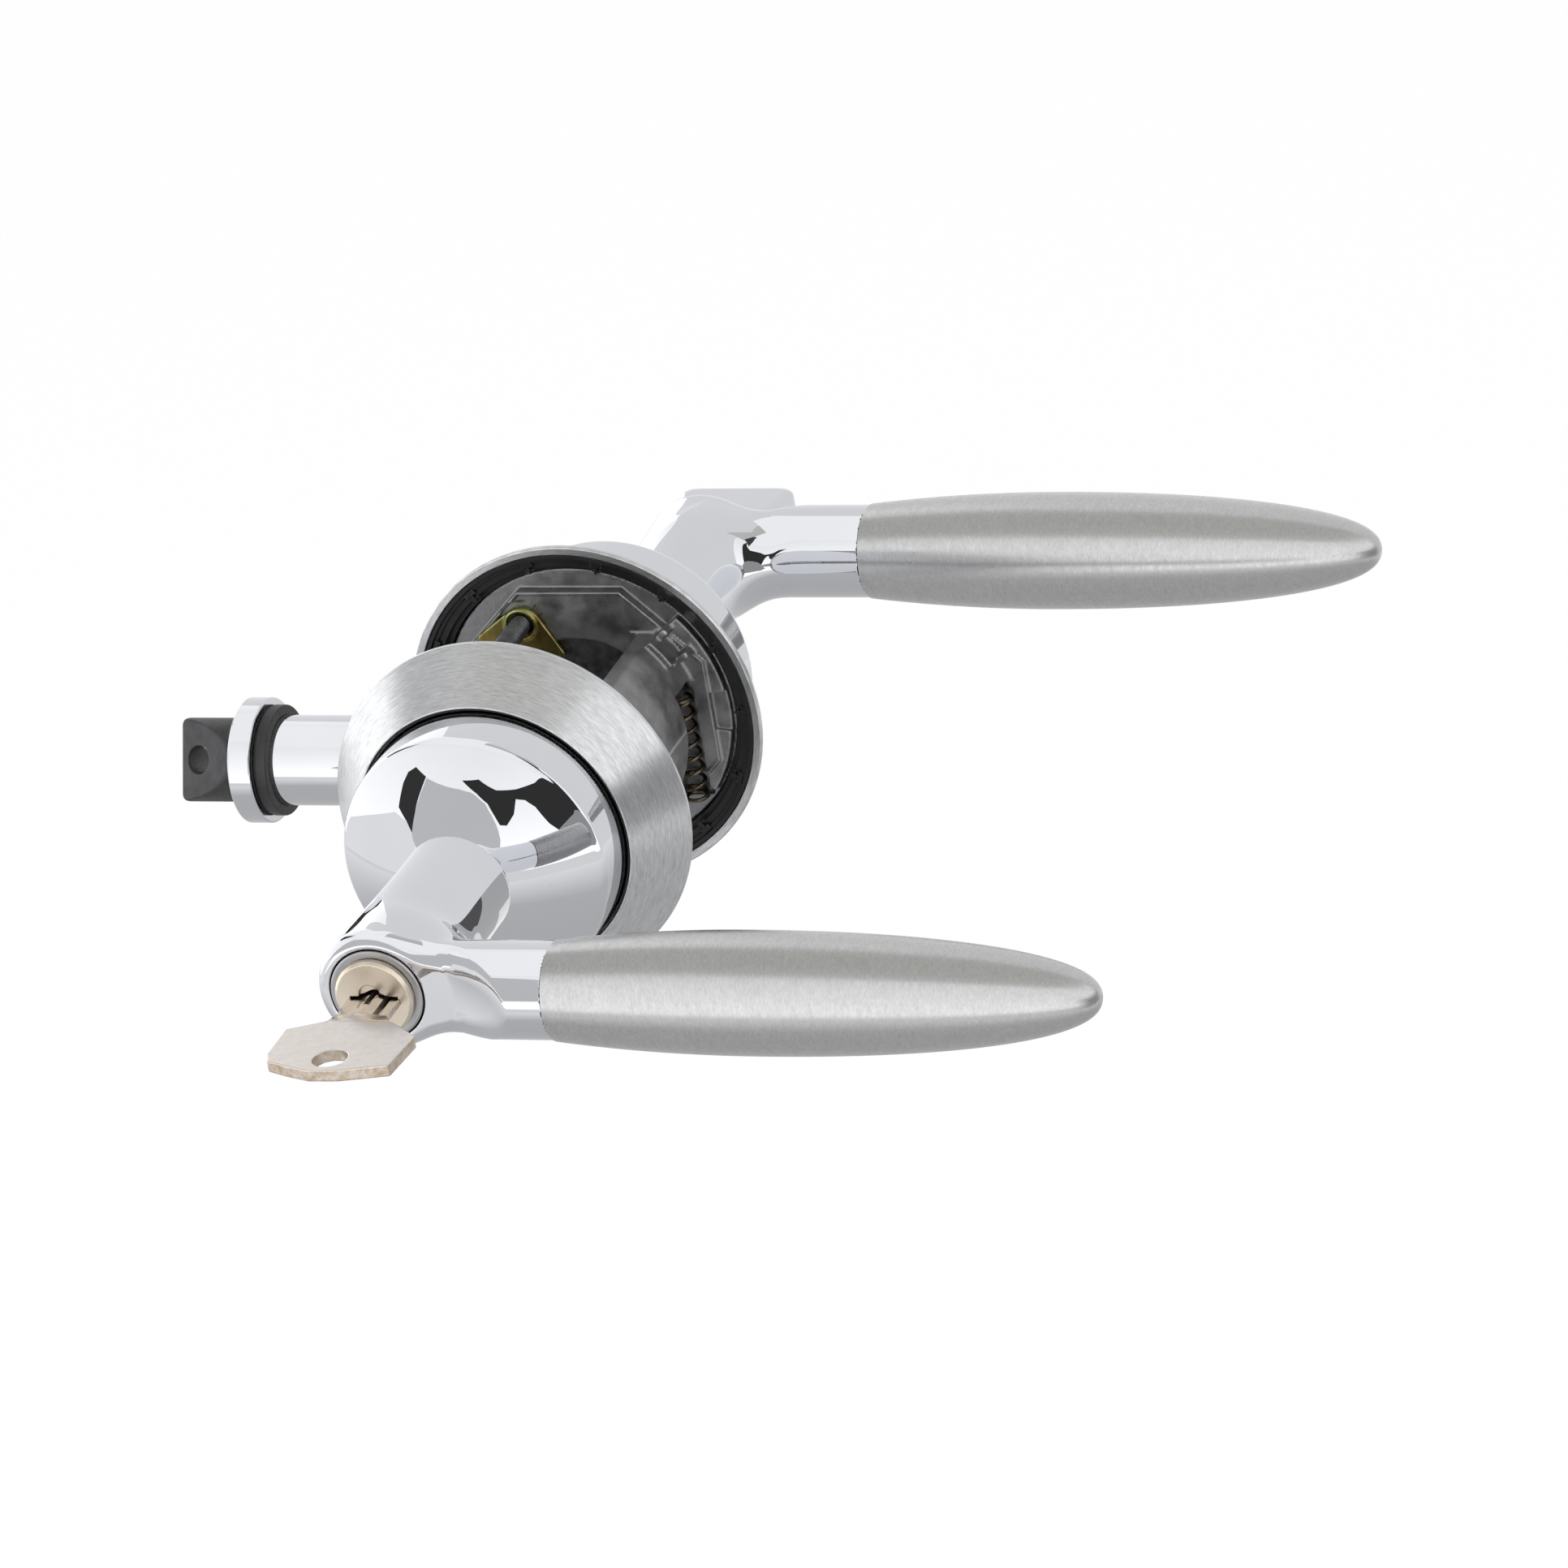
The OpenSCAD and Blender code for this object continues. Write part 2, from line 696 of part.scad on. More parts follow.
// Elbow and arm, scooped out round the boss
module arm() {
    difference() {
        union() {
            translate([bend_r, 0, arm_z - bend_r]) rotate([90, 0, 0]) rotate(90)
                rotate_extrude(angle = 90) translate([bend_r, 0]) circle(r = arm_r);
            translate([bend_r, 0, arm_z]) rotate([0, 90, 0]) cylinder(r = arm_r, h = grip_x - bend_r);
            translate([bend_r, 0, arm_z]) rotate([0, 90, 0])
                cylinder(r = tenon_r, h = grip_x - bend_r + tenon_len);
        }
        translate([0, 0, boss_z - boss_round])
            cylinder(r1 = boss_r, r2 = scoop_r, h = arm_r - boss_past + boss_round);
        disc(scoop_r, arm_z + arm_r, arm_z + arm_r + cut);
    }
}

module lever() {
    difference() {
        union() {
            rotate_extrude() polygon(lever_outline());
            arm();
        }
        rotate_extrude() polygon(dome_hollow());
        disc(spigot_r, skirt_z, spigot_end + weld);
        disc(housing_r, housing_z - clip_room, boss_z + cut);
        disc(housing_r + boss_groove, boss_z - groove_deep, boss_z + cut);
        disc(spigot_r - weld, spigot_end, housing_z);
        translate([0, 0, set_screw_z]) rotate([90, 0, 0]) disc(set_screw_r, spigot_r - weld, boss_r + cut);
        translate([grip_x + tenon_len - stud_len / 2, 0, arm_z]) rotate([0, 90, 0])
            cylinder(r = stud_r, h = stud_len);
    }
}

module outside_lever() { color([0.86, 0.87, 0.88]) outside() lever(); }
module inside_lever() { color([0.86, 0.87, 0.88]) inside() lever(); }

// Disc that centres the dome on the driver's spigot
module dome_plate() {
    ring(dome_r - dome_wall, spigot_r, dome_plate_z, dome_plate_z + dome_plate_t);
}

module outside_dome_plate() { color([0.55, 0.55, 0.57]) outside() dome_plate(); }
module inside_dome_plate() { color([0.55, 0.55, 0.57]) inside() dome_plate(); }

// Socket set screw that holds the neck on the spigot
module set_screw() {
    translate([0, 0, set_screw_z]) rotate([90, 0, 0]) difference() {
        disc(set_screw_r, spigot_r - screw_bite, neck_r - screw_bite);
        translate([0, 0, neck_r - screw_bite - hex_depth]) cylinder(r = hex_r, h = hex_depth + cut, $fn = 6);
    }
}

module outside_set_screw() { color([0.22, 0.22, 0.24]) outside() set_screw(); }
module inside_set_screw() { color([0.22, 0.22, 0.24]) inside() set_screw(); }

// ---------------------------------------------------------------- grips

// Half outline of the grip: a full belly that runs out to a rounded tip
function grip_outline() =
    let (belly = grip_x + grip_belly, rise = grip_max_r - arm_r - grip_step, run = grip_tip - belly)
    concat([[0, grip_x]],
        [for (i = [0 : belly_steps]) let (u = 1 - i / belly_steps)
            [grip_max_r - rise * u * u, belly - grip_belly * u]],
        [for (i = [1 : tip_steps]) let (s = sin(90 * i / tip_steps))
            [grip_max_r * pow(max(0, 1 - pow(s, 2.1)), 0.41), belly + run * s]]);

module grip() {
    translate([0, 0, arm_z]) rotate([0, 90, 0]) difference() {
        rotate_extrude() polygon(grip_outline());
        disc(tenon_r, grip_x - cut, grip_x + tenon_len);
        disc(stud_r, grip_x, grip_x + tenon_len + stud_len / 2);
    }
}

module outside_grip() { color([0.70, 0.71, 0.72]) outside() grip(); }
module inside_grip() { color([0.70, 0.71, 0.72]) inside() grip(); }

// Threaded stud that draws the grip onto the tenon
module grip_stud() {
    translate([grip_x + tenon_len - stud_len / 2, 0, arm_z]) rotate([0, 90, 0])
        cylinder(r = stud_r, h = stud_len);
}

module outside_grip_stud() { color([0.40, 0.40, 0.42]) outside() grip_stud(); }
module inside_grip_stud() { color([0.40, 0.40, 0.42]) inside() grip_stud(); }

// ---------------------------------------------------------------- cylinder

// Sleeve that the plug or the thumb turn runs in
module sleeve() { ring(housing_r, plug_r + run_fit, housing_z, housing_end); }

module cylinder_housing() { color([0.48, 0.48, 0.50]) outside() sleeve(); }
module turn_housing() { color([0.48, 0.48, 0.50]) inside() sleeve(); }

// Cross-section of the key's blade, grown by c on every side for the keyway
module blade_section(c) {
    difference() {
        square([blade_w + 2 * c, blade_t + 2 * c], center = true);
        translate([ward_x, blade_t / 2 + c]) square([ward_w - 2 * c, ward_w], center = true);
        translate([-ward_x, -blade_t / 2 - c]) square([ward_w - 2 * c, ward_w], center = true);
    }
}

// Plug with a chamfered head, keyway and wafer slots
module key_plug() {
    slot_z = plug_z - blade_in - clip_t;
    color([0.74, 0.69, 0.62]) outside() difference() {
        union() {
            disc(plug_r, housing_z, head_z);
            disc(tail_r, tail_back, housing_z);
            disc(plug_head_r, head_z, plug_z - chamfer_h);
            translate([0, 0, plug_z - chamfer_h])
                cylinder(r1 = plug_head_r, r2 = plug_head_r - chamfer_w, h = chamfer_h);
        }
        translate([0, 0, slot_z]) linear_extrude(plug_z - slot_z + cut) blade_section(key_gap);
        for (i = [0 : wafer_count - 1])
            bar(2 * plug_r + cut, wafer_h + 2 * wafer_gap,
                wafer_z - i * wafer_pitch - wafer_t - wafer_gap, wafer_z - i * wafer_pitch + wafer_gap);
        bar(tail_w, tail_t, tail_back - cut, tail_back + slot_depth);
        ring(tail_r + cut, tail_r - clip_bite, clip_z, clip_z + ring_t);
    }
}

// Spring-steel clip behind a plug
module back_clip() {
    difference() {
        ring(back_clip_r, tail_r - clip_bite, clip_z, clip_z + ring_t);
        translate([0, plug_r, 0])
            bar(clip_slit, 2 * (plug_r - tail_r + cut), clip_z - cut, clip_z + ring_t + cut);
    }
}

module plug_clip() { color([0.30, 0.30, 0.32]) outside() back_clip(); }
module turn_clip() { color([0.30, 0.30, 0.32]) inside() back_clip(); }

// Brass wafers, each with a window for the blade
module wafers() {
    color([0.78, 0.63, 0.35]) outside() for (i = [0 : wafer_count - 1])
        translate([0, 0, -i * wafer_pitch]) difference() {
            bar(wafer_w, wafer_h, wafer_z - wafer_t, wafer_z);
            bar(blade_w + 2 * window_gap, blade_t + 2 * window_gap, wafer_z - wafer_t - cut, wafer_z + cut);
        }
}

// Flat bar from the plug to the thumb turn, through the spindle
module tailpiece() {
    color([0.55, 0.55, 0.57]) outside() bar(tail_w, tail_t, -tail_back - tail_in, tail_back + slot_depth);
}

// Half outline of the bow, as distance from its centre line and from its start
bow_side = [
    [0.36, 0], [0.95, 0.22], [1, 0.31], [0.985, 0.76], [0.9, 0.84], [0.2, 1]];

// Flat key: grooved blade and six-sided bow
module key() {
    color([0.74, 0.70, 0.64]) outside() difference() {
        union() {
            translate([0, 0, plug_z - blade_in]) linear_extrude(blade_in + blade_out + weld) blade_section(0);
            rotate([90, 0, 0]) linear_extrude(blade_t, center = true) polygon(concat(
                [for (p = bow_side) [bow_shift + p[0] * bow_w / 2, bow_z + p[1] * bow_len]],
                [for (i = [len(bow_side) - 1 : -1 : 0])
                    [bow_shift - bow_side[i][0] * bow_w / 2, bow_z + bow_side[i][1] * bow_len]]));
        }
        translate([bow_shift - hole_shift, 0, bow_z + bow_len * 0.77]) rotate([90, 0, 0])
            cylinder(r = ring_hole_r, h = 2 * blade_t, center = true);
        for (side = [-1, 1])
            translate([side * (blade_w / 2 + tip_w), 0, plug_z - blade_in]) rotate([0, 45, 0])
                cube([tip_cut, 2 * blade_t, tip_cut], center = true);
    }
}

// Thumb turn: a paddle that widens outwards on a round stem
module thumb_turn() {
    side = turn_half - turn_round;
    top = turn_end - turn_round;
    color([0.86, 0.87, 0.88]) inside() difference() {
        union() {
            disc(plug_r, housing_z, head_z);
            disc(tail_r, tail_back, housing_z);
            disc(turn_foot + turn_lip, head_z, turn_z + turn_base);
            rotate([90, 0, 0]) linear_extrude(turn_t, center = true) polygon(concat(
                [[-turn_foot, turn_z], [turn_foot, turn_z]],
                arc(side, top, turn_round, 0, 90, round_steps),
                arc(-side, top, turn_round, 90, 180, round_steps)));
        }
        bar(tail_w + tail_gap, tail_t + tail_gap, tail_back - cut, tail_back + tail_in + weld);
        ring(tail_r + cut, tail_r - clip_bite, clip_z, clip_z + ring_t);
    }
}

// ---------------------------------------------------------------- latch

// Thin tube with two side prongs that the saddles hold
module latch_tube() {
    color([0.83, 0.84, 0.86]) latch() difference() {
        ring(tube_r, tube_r - tube_wall, prong_in, tube_out);
        translate([-tube_r - cut, -prong_half, prong_in - cut])
            cube([2 * (tube_r + cut), 2 * prong_half, cap_in - prong_in]);
    }
}

// Drive-in collar at the door edge
module latch_collar() {
    color([0.83, 0.84, 0.86]) latch() difference() {
        disc(collar_r, collar_in, backset);
        disc(bolt_r + run_fit, collar_in - cut, backset + cut);
        disc(tube_r, collar_in - cut, tube_out);
    }
}

// Rubber ring that holds the collar in its hole
module latch_grip_ring() {
    color([0.08, 0.08, 0.09]) latch() ring(grip_ring_r, tube_r, collar_in - grip_ring_t, collar_in);
}

// Guide for the bolt rod at the back of the tube
module tube_cap() {
    color([0.50, 0.50, 0.52]) latch() ring(tube_r - tube_wall, rod_r + run_fit, cap_in, cap_in + cap_t);
}

// Sprung bolt with a slanted face towards the outside
module latch_bolt() {
    tip = backset + bolt_out;
    color([0.16, 0.16, 0.18]) latch() difference() {
        disc(bolt_r, bolt_back, tip);
        translate([-bolt_r - cut, bolt_r - tip_half, tip]) rotate([-45, 0, 0])
            translate([0, -3 * bolt_r, 0]) cube([2 * (bolt_r + cut), 3 * bolt_r, 2 * bolt_r]);
        translate([0, 0, tip - hole_in]) rotate([90, 0, 0])
            cylinder(r = bolt_hole_r, h = 3 * bolt_r, center = true);
        disc(rod_r, bolt_back - cut, bolt_back + rod_in);
    }
}

module bolt_rod() { color([0.60, 0.60, 0.62]) latch() disc(rod_r, base_in, bolt_back + rod_in); }

// Two cheeks either side of the cam, joined by the base and by the catch that the cam pushes
module retractor() {
    back = -base_in - base_t;
    out = cheek_in + cheek_t;
    color([0.58, 0.58, 0.60]) outside() difference() {
        union() {
            for (side = [-out, cheek_in], low = [-arm_top, arm_top - cheek_h])
                translate([back, low, side]) cube([catch_x + catch_w - back, cheek_h, cheek_t]);
            translate([back, -arm_top, -out]) cube([base_t, 2 * arm_top, 2 * out]);
            translate([catch_x, catch_low, -out]) cube([catch_w, catch_top - catch_low, 2 * out]);
        }
        latch() disc(rod_r, 0, backset);
    }
}

outside_rose();
inside_rose();
outside_bush_ring();
inside_bush_ring();
outside_carrier_ring();
inside_carrier_ring();
outside_plate();
inside_plate();
lug_plates();
fixing_screws();
outside_return_spring();
inside_return_spring();
latch_tube();
latch_collar();
latch_grip_ring();
tube_cap();
bolt_spring();
outside_lever();
outside_grip();
outside_grip_stud();
outside_set_screw();
outside_dome_plate();
outside_driver();
outside_circlip();
cylinder_housing();
spindle();
latch_cam();
inside_lever();
inside_grip();
inside_grip_stud();
inside_set_screw();
inside_dome_plate();
inside_driver();
inside_circlip();
turn_housing();
key_plug();
plug_clip();
wafers();
tailpiece();
key();
thumb_turn();
turn_clip();
latch_bolt();
bolt_rod();
retractor();
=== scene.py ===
import math

import bmesh
import bpy
import numpy as np
from mathutils import Matrix, Vector


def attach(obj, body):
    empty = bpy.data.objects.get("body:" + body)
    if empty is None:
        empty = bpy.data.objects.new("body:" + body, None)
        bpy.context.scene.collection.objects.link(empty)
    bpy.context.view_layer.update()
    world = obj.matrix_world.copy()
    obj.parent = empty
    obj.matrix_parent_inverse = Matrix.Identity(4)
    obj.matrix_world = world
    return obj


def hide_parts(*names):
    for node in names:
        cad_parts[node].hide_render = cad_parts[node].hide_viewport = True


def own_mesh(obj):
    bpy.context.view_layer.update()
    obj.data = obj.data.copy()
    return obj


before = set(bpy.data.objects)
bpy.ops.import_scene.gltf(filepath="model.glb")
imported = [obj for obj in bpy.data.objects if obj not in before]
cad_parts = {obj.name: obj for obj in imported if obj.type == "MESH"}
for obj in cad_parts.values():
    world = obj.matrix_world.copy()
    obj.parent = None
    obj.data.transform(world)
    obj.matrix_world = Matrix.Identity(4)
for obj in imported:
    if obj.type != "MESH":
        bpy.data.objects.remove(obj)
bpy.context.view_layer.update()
mm = 0.001

# ---------------------------------------------------------------- mounting plates
# Two zinc die castings, one behind each rose: an octagon with a round flange, a bore for the driver and a
# pocket for the return spring. The inside one carries a half-round guard, the outside one two threaded
# posts. Raw cast skin, slightly rounded everywhere, with a thin burr left along the parting line.

door_face = 18.625          # from the middle of the door
plate_z, flange_z, plate_top = 20.025, 22.025, 24.425
octagon_r, flange_r, driver_bore = 25.4, 27.48, 14.25
ledge_r, ledge_half = 24.9, 1.9
nose_r, nose_low, nose_high = 20.4, -44, 27      # the room swept by the driver's nose, in degrees
guard_r, guard_half, guard_end, guard_side = 20.35, 1.15, -4, 15.4
post_r, post_bore, post_end = 3.6, 1.95, 4.5
guide_r, screw_hole_r = 4.1, 2.1
screw_angle, screw_circle = math.radians(118.7), 20.0
screw_angles = (screw_angle, screw_angle + math.pi)
# Where the two fixing screws pass, seen from the outside
screw_spots = [(screw_circle * math.cos(a), screw_circle * math.sin(a)) for a in screw_angles]


def join(a, b, r):
    """Two solids as one, with a fillet of about r where they meet."""
    h = np.maximum(r - np.abs(a - b), 0) / r
    return np.minimum(a, b) - h * h * r / 4


def meet(a, b, r):
    """What two solids share, with its new edges rounded."""
    return -join(-a, -b, r)


def carve(a, b, r):
    """The first solid without the second."""
    return -join(-a, b, r)


def slab(v, low, high):
    return np.maximum(low - v, v - high)


def block(x, y, z, low, high, r=0.3):
    return meet(meet(slab(x, low[0], high[0]), slab(y, low[1], high[1]), r), slab(z, low[2], high[2]), r)


def sector(x, y, a0, a1):
    """The wedge between two angles, in degrees and less than 180 apart."""
    a0, a1 = math.radians(a0), math.radians(a1)
    return np.maximum(x * math.sin(a0) - y * math.cos(a0), y * math.cos(a1) - x * math.sin(a1))


def slope_of(field, p):
    step = 0.01
    grad = np.empty_like(p)
    for i in range(3):
        d = np.zeros(3)
        d[i] = step
        grad[:, i] = (field(*(p + d).T) - field(*(p - d).T)) / (2 * step)
    return grad


def mesh_object(name, verts, faces, normals=None):
    """A smooth mesh object from arrays in mm: faces all have the same number of corners."""
    mesh = bpy.data.meshes.new(name)
    mesh.vertices.add(len(verts))
    mesh.vertices.foreach_set("co", (np.asarray(verts) * mm).ravel())
    corners = faces.shape[1]
    mesh.loops.add(faces.size)
    mesh.loops.foreach_set("vertex_index", faces.ravel().astype(np.int32))
    mesh.polygons.add(len(faces))
    mesh.polygons.foreach_set("loop_start", np.arange(0, faces.size, corners, dtype=np.int32))
    mesh.update(calc_edges=True)
    mesh.shade_smooth()
    if normals is not None:
        mesh.normals_split_custom_set_from_vertices(normals)
    obj = bpy.data.objects.new(name, mesh)
    bpy.context.scene.collection.objects.link(obj)
    return obj


def cast(name, field, low, high, pitch, place=(1, -1)):
    """Meshes the solid where field(x, up, out) is below 0, in mm. place gives the sign of X and of Y (out)."""
    axes = [np.arange(lo, hi + pitch, pitch) for lo, hi in zip(low, high)]
    value = field(*np.meshgrid(*axes, indexing="ij"))
    cells = np.array(value.shape) - 1
    spot, quad_cells = [], []
    for axis in range(3):
        first = [slice(None)] * 3
        last = [slice(None)] * 3
        first[axis], last[axis] = slice(None, -1), slice(1, None)
        v0, v1 = value[tuple(first)], value[tuple(last)]
        edge = np.argwhere((v0 < 0) != (v1 < 0))
        a, b = (axis + 1) % 3, (axis + 2) % 3
        edge = edge[(edge[:, a] > 0) & (edge[:, b] > 0) & (edge[:, a] < cells[a]) & (edge[:, b] < cells[b])]
        here = tuple(edge.T)
        point = edge.astype(float)
        point[:, axis] += v0[here] / (v0[here] - v1[here])
        da, db = np.eye(3, dtype=int)[a], np.eye(3, dtype=int)[b]
        ring = np.stack([edge - da - db, edge - db, edge, edge - da], axis=1)
        inward = v0[here] > 0
        ring[inward] = ring[inward][:, ::-1]
        quad_cells.append(np.ravel_multi_index(tuple(ring.reshape(-1, 3).T), cells).reshape(-1, 4))
        spot.append(np.repeat(point, 4, axis=0))
    quads = np.concatenate(quad_cells)
    ids, faces = np.unique(quads, return_inverse=True)
    faces = faces.reshape(-1, 4)
    spot = np.concatenate(spot)
    count = np.bincount(faces.ravel(), minlength=len(ids))
    p = np.stack([np.bincount(faces.ravel(), spot[:, i], len(ids)) / count for i in range(3)], axis=1)
    p = p * pitch + np.array(low)
    for _ in range(4):
        grad = slope_of(field, p)
        move = field(*p.T)[:, None] * grad / np.maximum((grad ** 2).sum(1), 0.05)[:, None]
        p -= np.clip(move, -pitch / 2, pitch / 2)
    normal = slope_of(field, p)
    normal /= np.linalg.norm(normal, axis=1)[:, None]
    turned = np.array([place[0], place[1], 1])
    p, normal = p[:, [0, 2, 1]] * turned, normal[:, [0, 2, 1]] * turned
    if place[0] * place[1] > 0:
        faces = faces[:, ::-1]
    return mesh_object(name, p, faces, normal)


def plate_body(x, up, out):
    r = np.hypot(x, up)
    flat = [abs(x), abs(up), (abs(x) + abs(up)) / math.sqrt(2)]
    octagon = np.maximum(np.maximum(flat[0], flat[1]), flat[2]) - octagon_r * math.cos(math.pi / 8)
    solid = meet(octagon, slab(out, plate_z, flange_z + 0.6), 0.5)
    burr = meet(abs(octagon + 0.15) - 0.28, slab(out, plate_z - 0.18, plate_z + 0.5), 0.2)
    solid = join(solid, burr, 0.25)
    solid = join(solid, meet(r - flange_r, slab(out, flange_z, plate_top), 0.5), 0.5)
    for a0, a1, high in ((8, 43, 20.3), (-37, -9, 20.3), (-9, 8, 21.2)):
        ledge = meet(meet(abs(r - ledge_r) - ledge_half, sector(x, up, a0, a1), 0.4),
                     slab(out, high, flange_z + 0.6), 0.4)
        solid = join(solid, ledge, 0.4)
    saddle = meet(block(x, up, out, (-20.1, -4, 6.6), (-16.5, 4, plate_z + 0.5)), 8.12 - np.hypot(up, out), 0.3)
    solid = join(solid, saddle, 0.8)
    solid = carve(solid, np.maximum(r - driver_bore, slab(out, 10, 30)), 0.4)
    sweep = np.maximum(np.maximum(r - nose_r, sector(x, up, nose_low, nose_high)), slab(out, 15, 22.6))
    room = block(x, up, out, (15.4, -17.4, 15), (nose_r, 4.6, 22.8))
    return carve(carve(solid, sweep, 0.4), room, 0.4)


def inside_plate_body(x, up, out):
    r = np.hypot(x, up)
    guard = meet(abs(r - guard_r) - guard_half, slab(out, guard_end, plate_z + 0.5), 0.4)
    guard = meet(meet(guard, abs(up) - guard_side, 0.3), -x, 0.3)
    for a0, a1 in ((41, 44), (28, 31)):
        rib = meet(meet(abs(r - 22.6) - 2.4, sector(x, up, a0, a1), 0.3), slab(out, 17.6, plate_z + 0.5), 0.3)
        guard = join(guard, rib, 0.5)
    step = meet(meet(abs(r - 21.9) - 0.9, sector(x, up, 30, 45), 0.3), slab(out, 14.8, plate_z + 0.5), 0.3)
    guard = join(guard, step, 0.4)
    guard = carve(guard, block(x, up, out, (15.1, -18.4, 12.5), (40, 6.4, 21)), 0.4)
    solid = join(plate_body(x, up, out), guard, 0.9)
    for sx, sy in screw_spots:
        hole = np.hypot(x - sx, up - sy)
        solid = carve(solid, np.maximum(hole - guide_r, slab(out, -10, plate_z)), 0.4)
        solid = carve(solid, hole - screw_hole_r, 0.3)
    return solid


def outside_plate_body(x, up, out):
    solid = plate_body(x, up, out)
    for sx, sy in screw_spots:
        hole = np.hypot(x - sx, up - sy)
        solid = join(solid, meet(hole - post_r, slab(out, post_end, plate_z + 0.5), 0.4), 1.2)
        solid = carve(solid, hole - post_bore, 0.3)
    return solid


def group(name, inputs, outputs):
    """A shader node group with float inputs and outputs; inputs maps each name to its default."""
    tree = bpy.data.node_groups.new(name, "ShaderNodeTree")
    for label, default in inputs.items():
        socket = tree.interface.new_socket(label, in_out="INPUT", socket_type="NodeSocketFloat")
        socket.default_value = default
    for label in outputs:
        tree.interface.new_socket(label, in_out="OUTPUT", socket_type="NodeSocketFloat")
    return tree, tree.nodes.new("NodeGroupInput"), tree.nodes.new("NodeGroupOutput")


def node(tree, kind, **settings):
    """A node with its settings. A setting written as inN sets input N, or links a socket to it."""
    made = tree.nodes.new("ShaderNode" + kind)
    for key, value in settings.items():
        if key[:2] == "in" and key[2:].isdigit():
            plug(tree, made.inputs[int(key[2:])], value)
        else:
            setattr(made, key, value)
    return made


def plug(tree, socket, value):
    if isinstance(value, bpy.types.NodeSocket):
        tree.links.new(value, socket)
    else:
        socket.default_value = value


def math_node(tree, operation, a, b=0.0, clamp=False):
    return node(tree, "Math", operation=operation, use_clamp=clamp, in0=a, in1=b).outputs[0]


def times(tree, a, b):
    return math_node(tree, "MULTIPLY", a, b)


def spread(tree, value, low, high, to_low=0.0, to_high=1.0):
    """Maps low..high to to_low..to_high, clamped."""
    return node(tree, "MapRange", in0=value, in1=low, in2=high, in3=to_low, in4=to_high).outputs[0]


def mixed(tree, share, a, b):
    """A colour between a and b."""
    mix = node(tree, "Mix", data_type="RGBA")
    plug(tree, mix.inputs[0], share)
    plug(tree, mix.inputs[6], a)
    plug(tree, mix.inputs[7], b)
    return mix.outputs[2]


def give(tree, to, **values):
    """Links values to the inputs of a node or a group's output, by name."""
    for label, value in values.items():
        tree.links.new(value, to.inputs[label.replace("_", " ")])


def finish(name, color, metallic, roughness, **sockets):
    """A material whose uniform values stand on the Principled shader's own sockets."""
    made = bpy.data.materials.new(name)
    made.use_nodes = True
    tree = made.node_tree
    shader = tree.nodes["Principled BSDF"]
    shader.inputs["Base Color"].default_value = (*color, 1)
    shader.inputs["Metallic"].default_value = metallic
    shader.inputs["Roughness"].default_value = roughness
    for label, value in sockets.items():
        shader.inputs[label.replace("_", " ")].default_value = value
    return made, tree, shader


def use(tree, made_group, **inputs):
    """Places a shared group in a material, with its own values."""
    placed = tree.nodes.new("ShaderNodeGroup")
    placed.node_tree = made_group
    for label, value in inputs.items():
        placed.inputs[label].default_value = value
    return placed.outputs


def relief(tree, shader, height, depth):
    """Bumps the surface by height times depth, in mm."""
    bump = node(tree, "Bump")
    bump.inputs["Distance"].default_value = depth * mm
    give(tree, bump, Height=height)
    give(tree, shader, Normal=bump.outputs[0])


def fit(obj, material, body, slot, *nodes):
    """Gives a finished piece its material and body, and lets it stand for CAD nodes. slot is not used."""
    obj.data.materials.clear()
    obj.data.materials.append(material)
    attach(obj, body)
    if nodes:
        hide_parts(*nodes)
    return obj


# Mottle and fine pitting, as on a raw casting, sintered steel or moulded rubber
skin, skin_in, skin_out = group("cast_skin", {"Grain": 2500.0, "Patches": 160.0}, ["Height", "Patch", "Speck"])
place = node(skin, "TexCoord").outputs["Object"]
fine = node(skin, "TexNoise", in0=place, in2=skin_in.outputs["Grain"], in3=4.0, in4=0.65).outputs[0]
patch = node(skin, "TexNoise", in0=place, in2=skin_in.outputs["Patches"], in3=5.0, in4=0.6).outputs[0]
pits = node(skin, "TexVoronoi", in0=place, in2=times(skin, skin_in.outputs["Grain"], 0.3)).outputs[0]
speck = spread(skin, pits, 0.0, 0.25, 1.0, 0.0)
height = math_node(skin, "SUBTRACT", fine, times(skin, speck, 0.4))
give(skin, skin_out, Height=height, Patch=spread(skin, patch, 0.32, 0.68), Speck=speck)

# Bright lines on convex edges, partly worn metal and partly painted highlight
wear_and_highlight, wear_and_highlight_in, wear_and_highlight_out = group("edge_wear_and_highlight", {"Reach": 0.5, "Breakup": 900.0}, ["Edge"])
point = node(wear_and_highlight, "NewGeometry").outputs["Pointiness"]
rag = node(wear_and_highlight, "TexNoise", in0=node(wear_and_highlight, "TexCoord").outputs["Object"], in2=wear_and_highlight_in.outputs["Breakup"], in3=3.0)
ragged = math_node(wear_and_highlight, "ADD", point, spread(wear_and_highlight, rag.outputs[0], 0.3, 0.7, -0.02, 0.02))
low_edge = math_node(wear_and_highlight, "ADD", wear_and_highlight_in.outputs["Reach"], 0.02)
give(wear_and_highlight, wear_and_highlight_out, Edge=spread(wear_and_highlight, ragged, low_edge, math_node(wear_and_highlight, "ADD", low_edge, 0.06)))


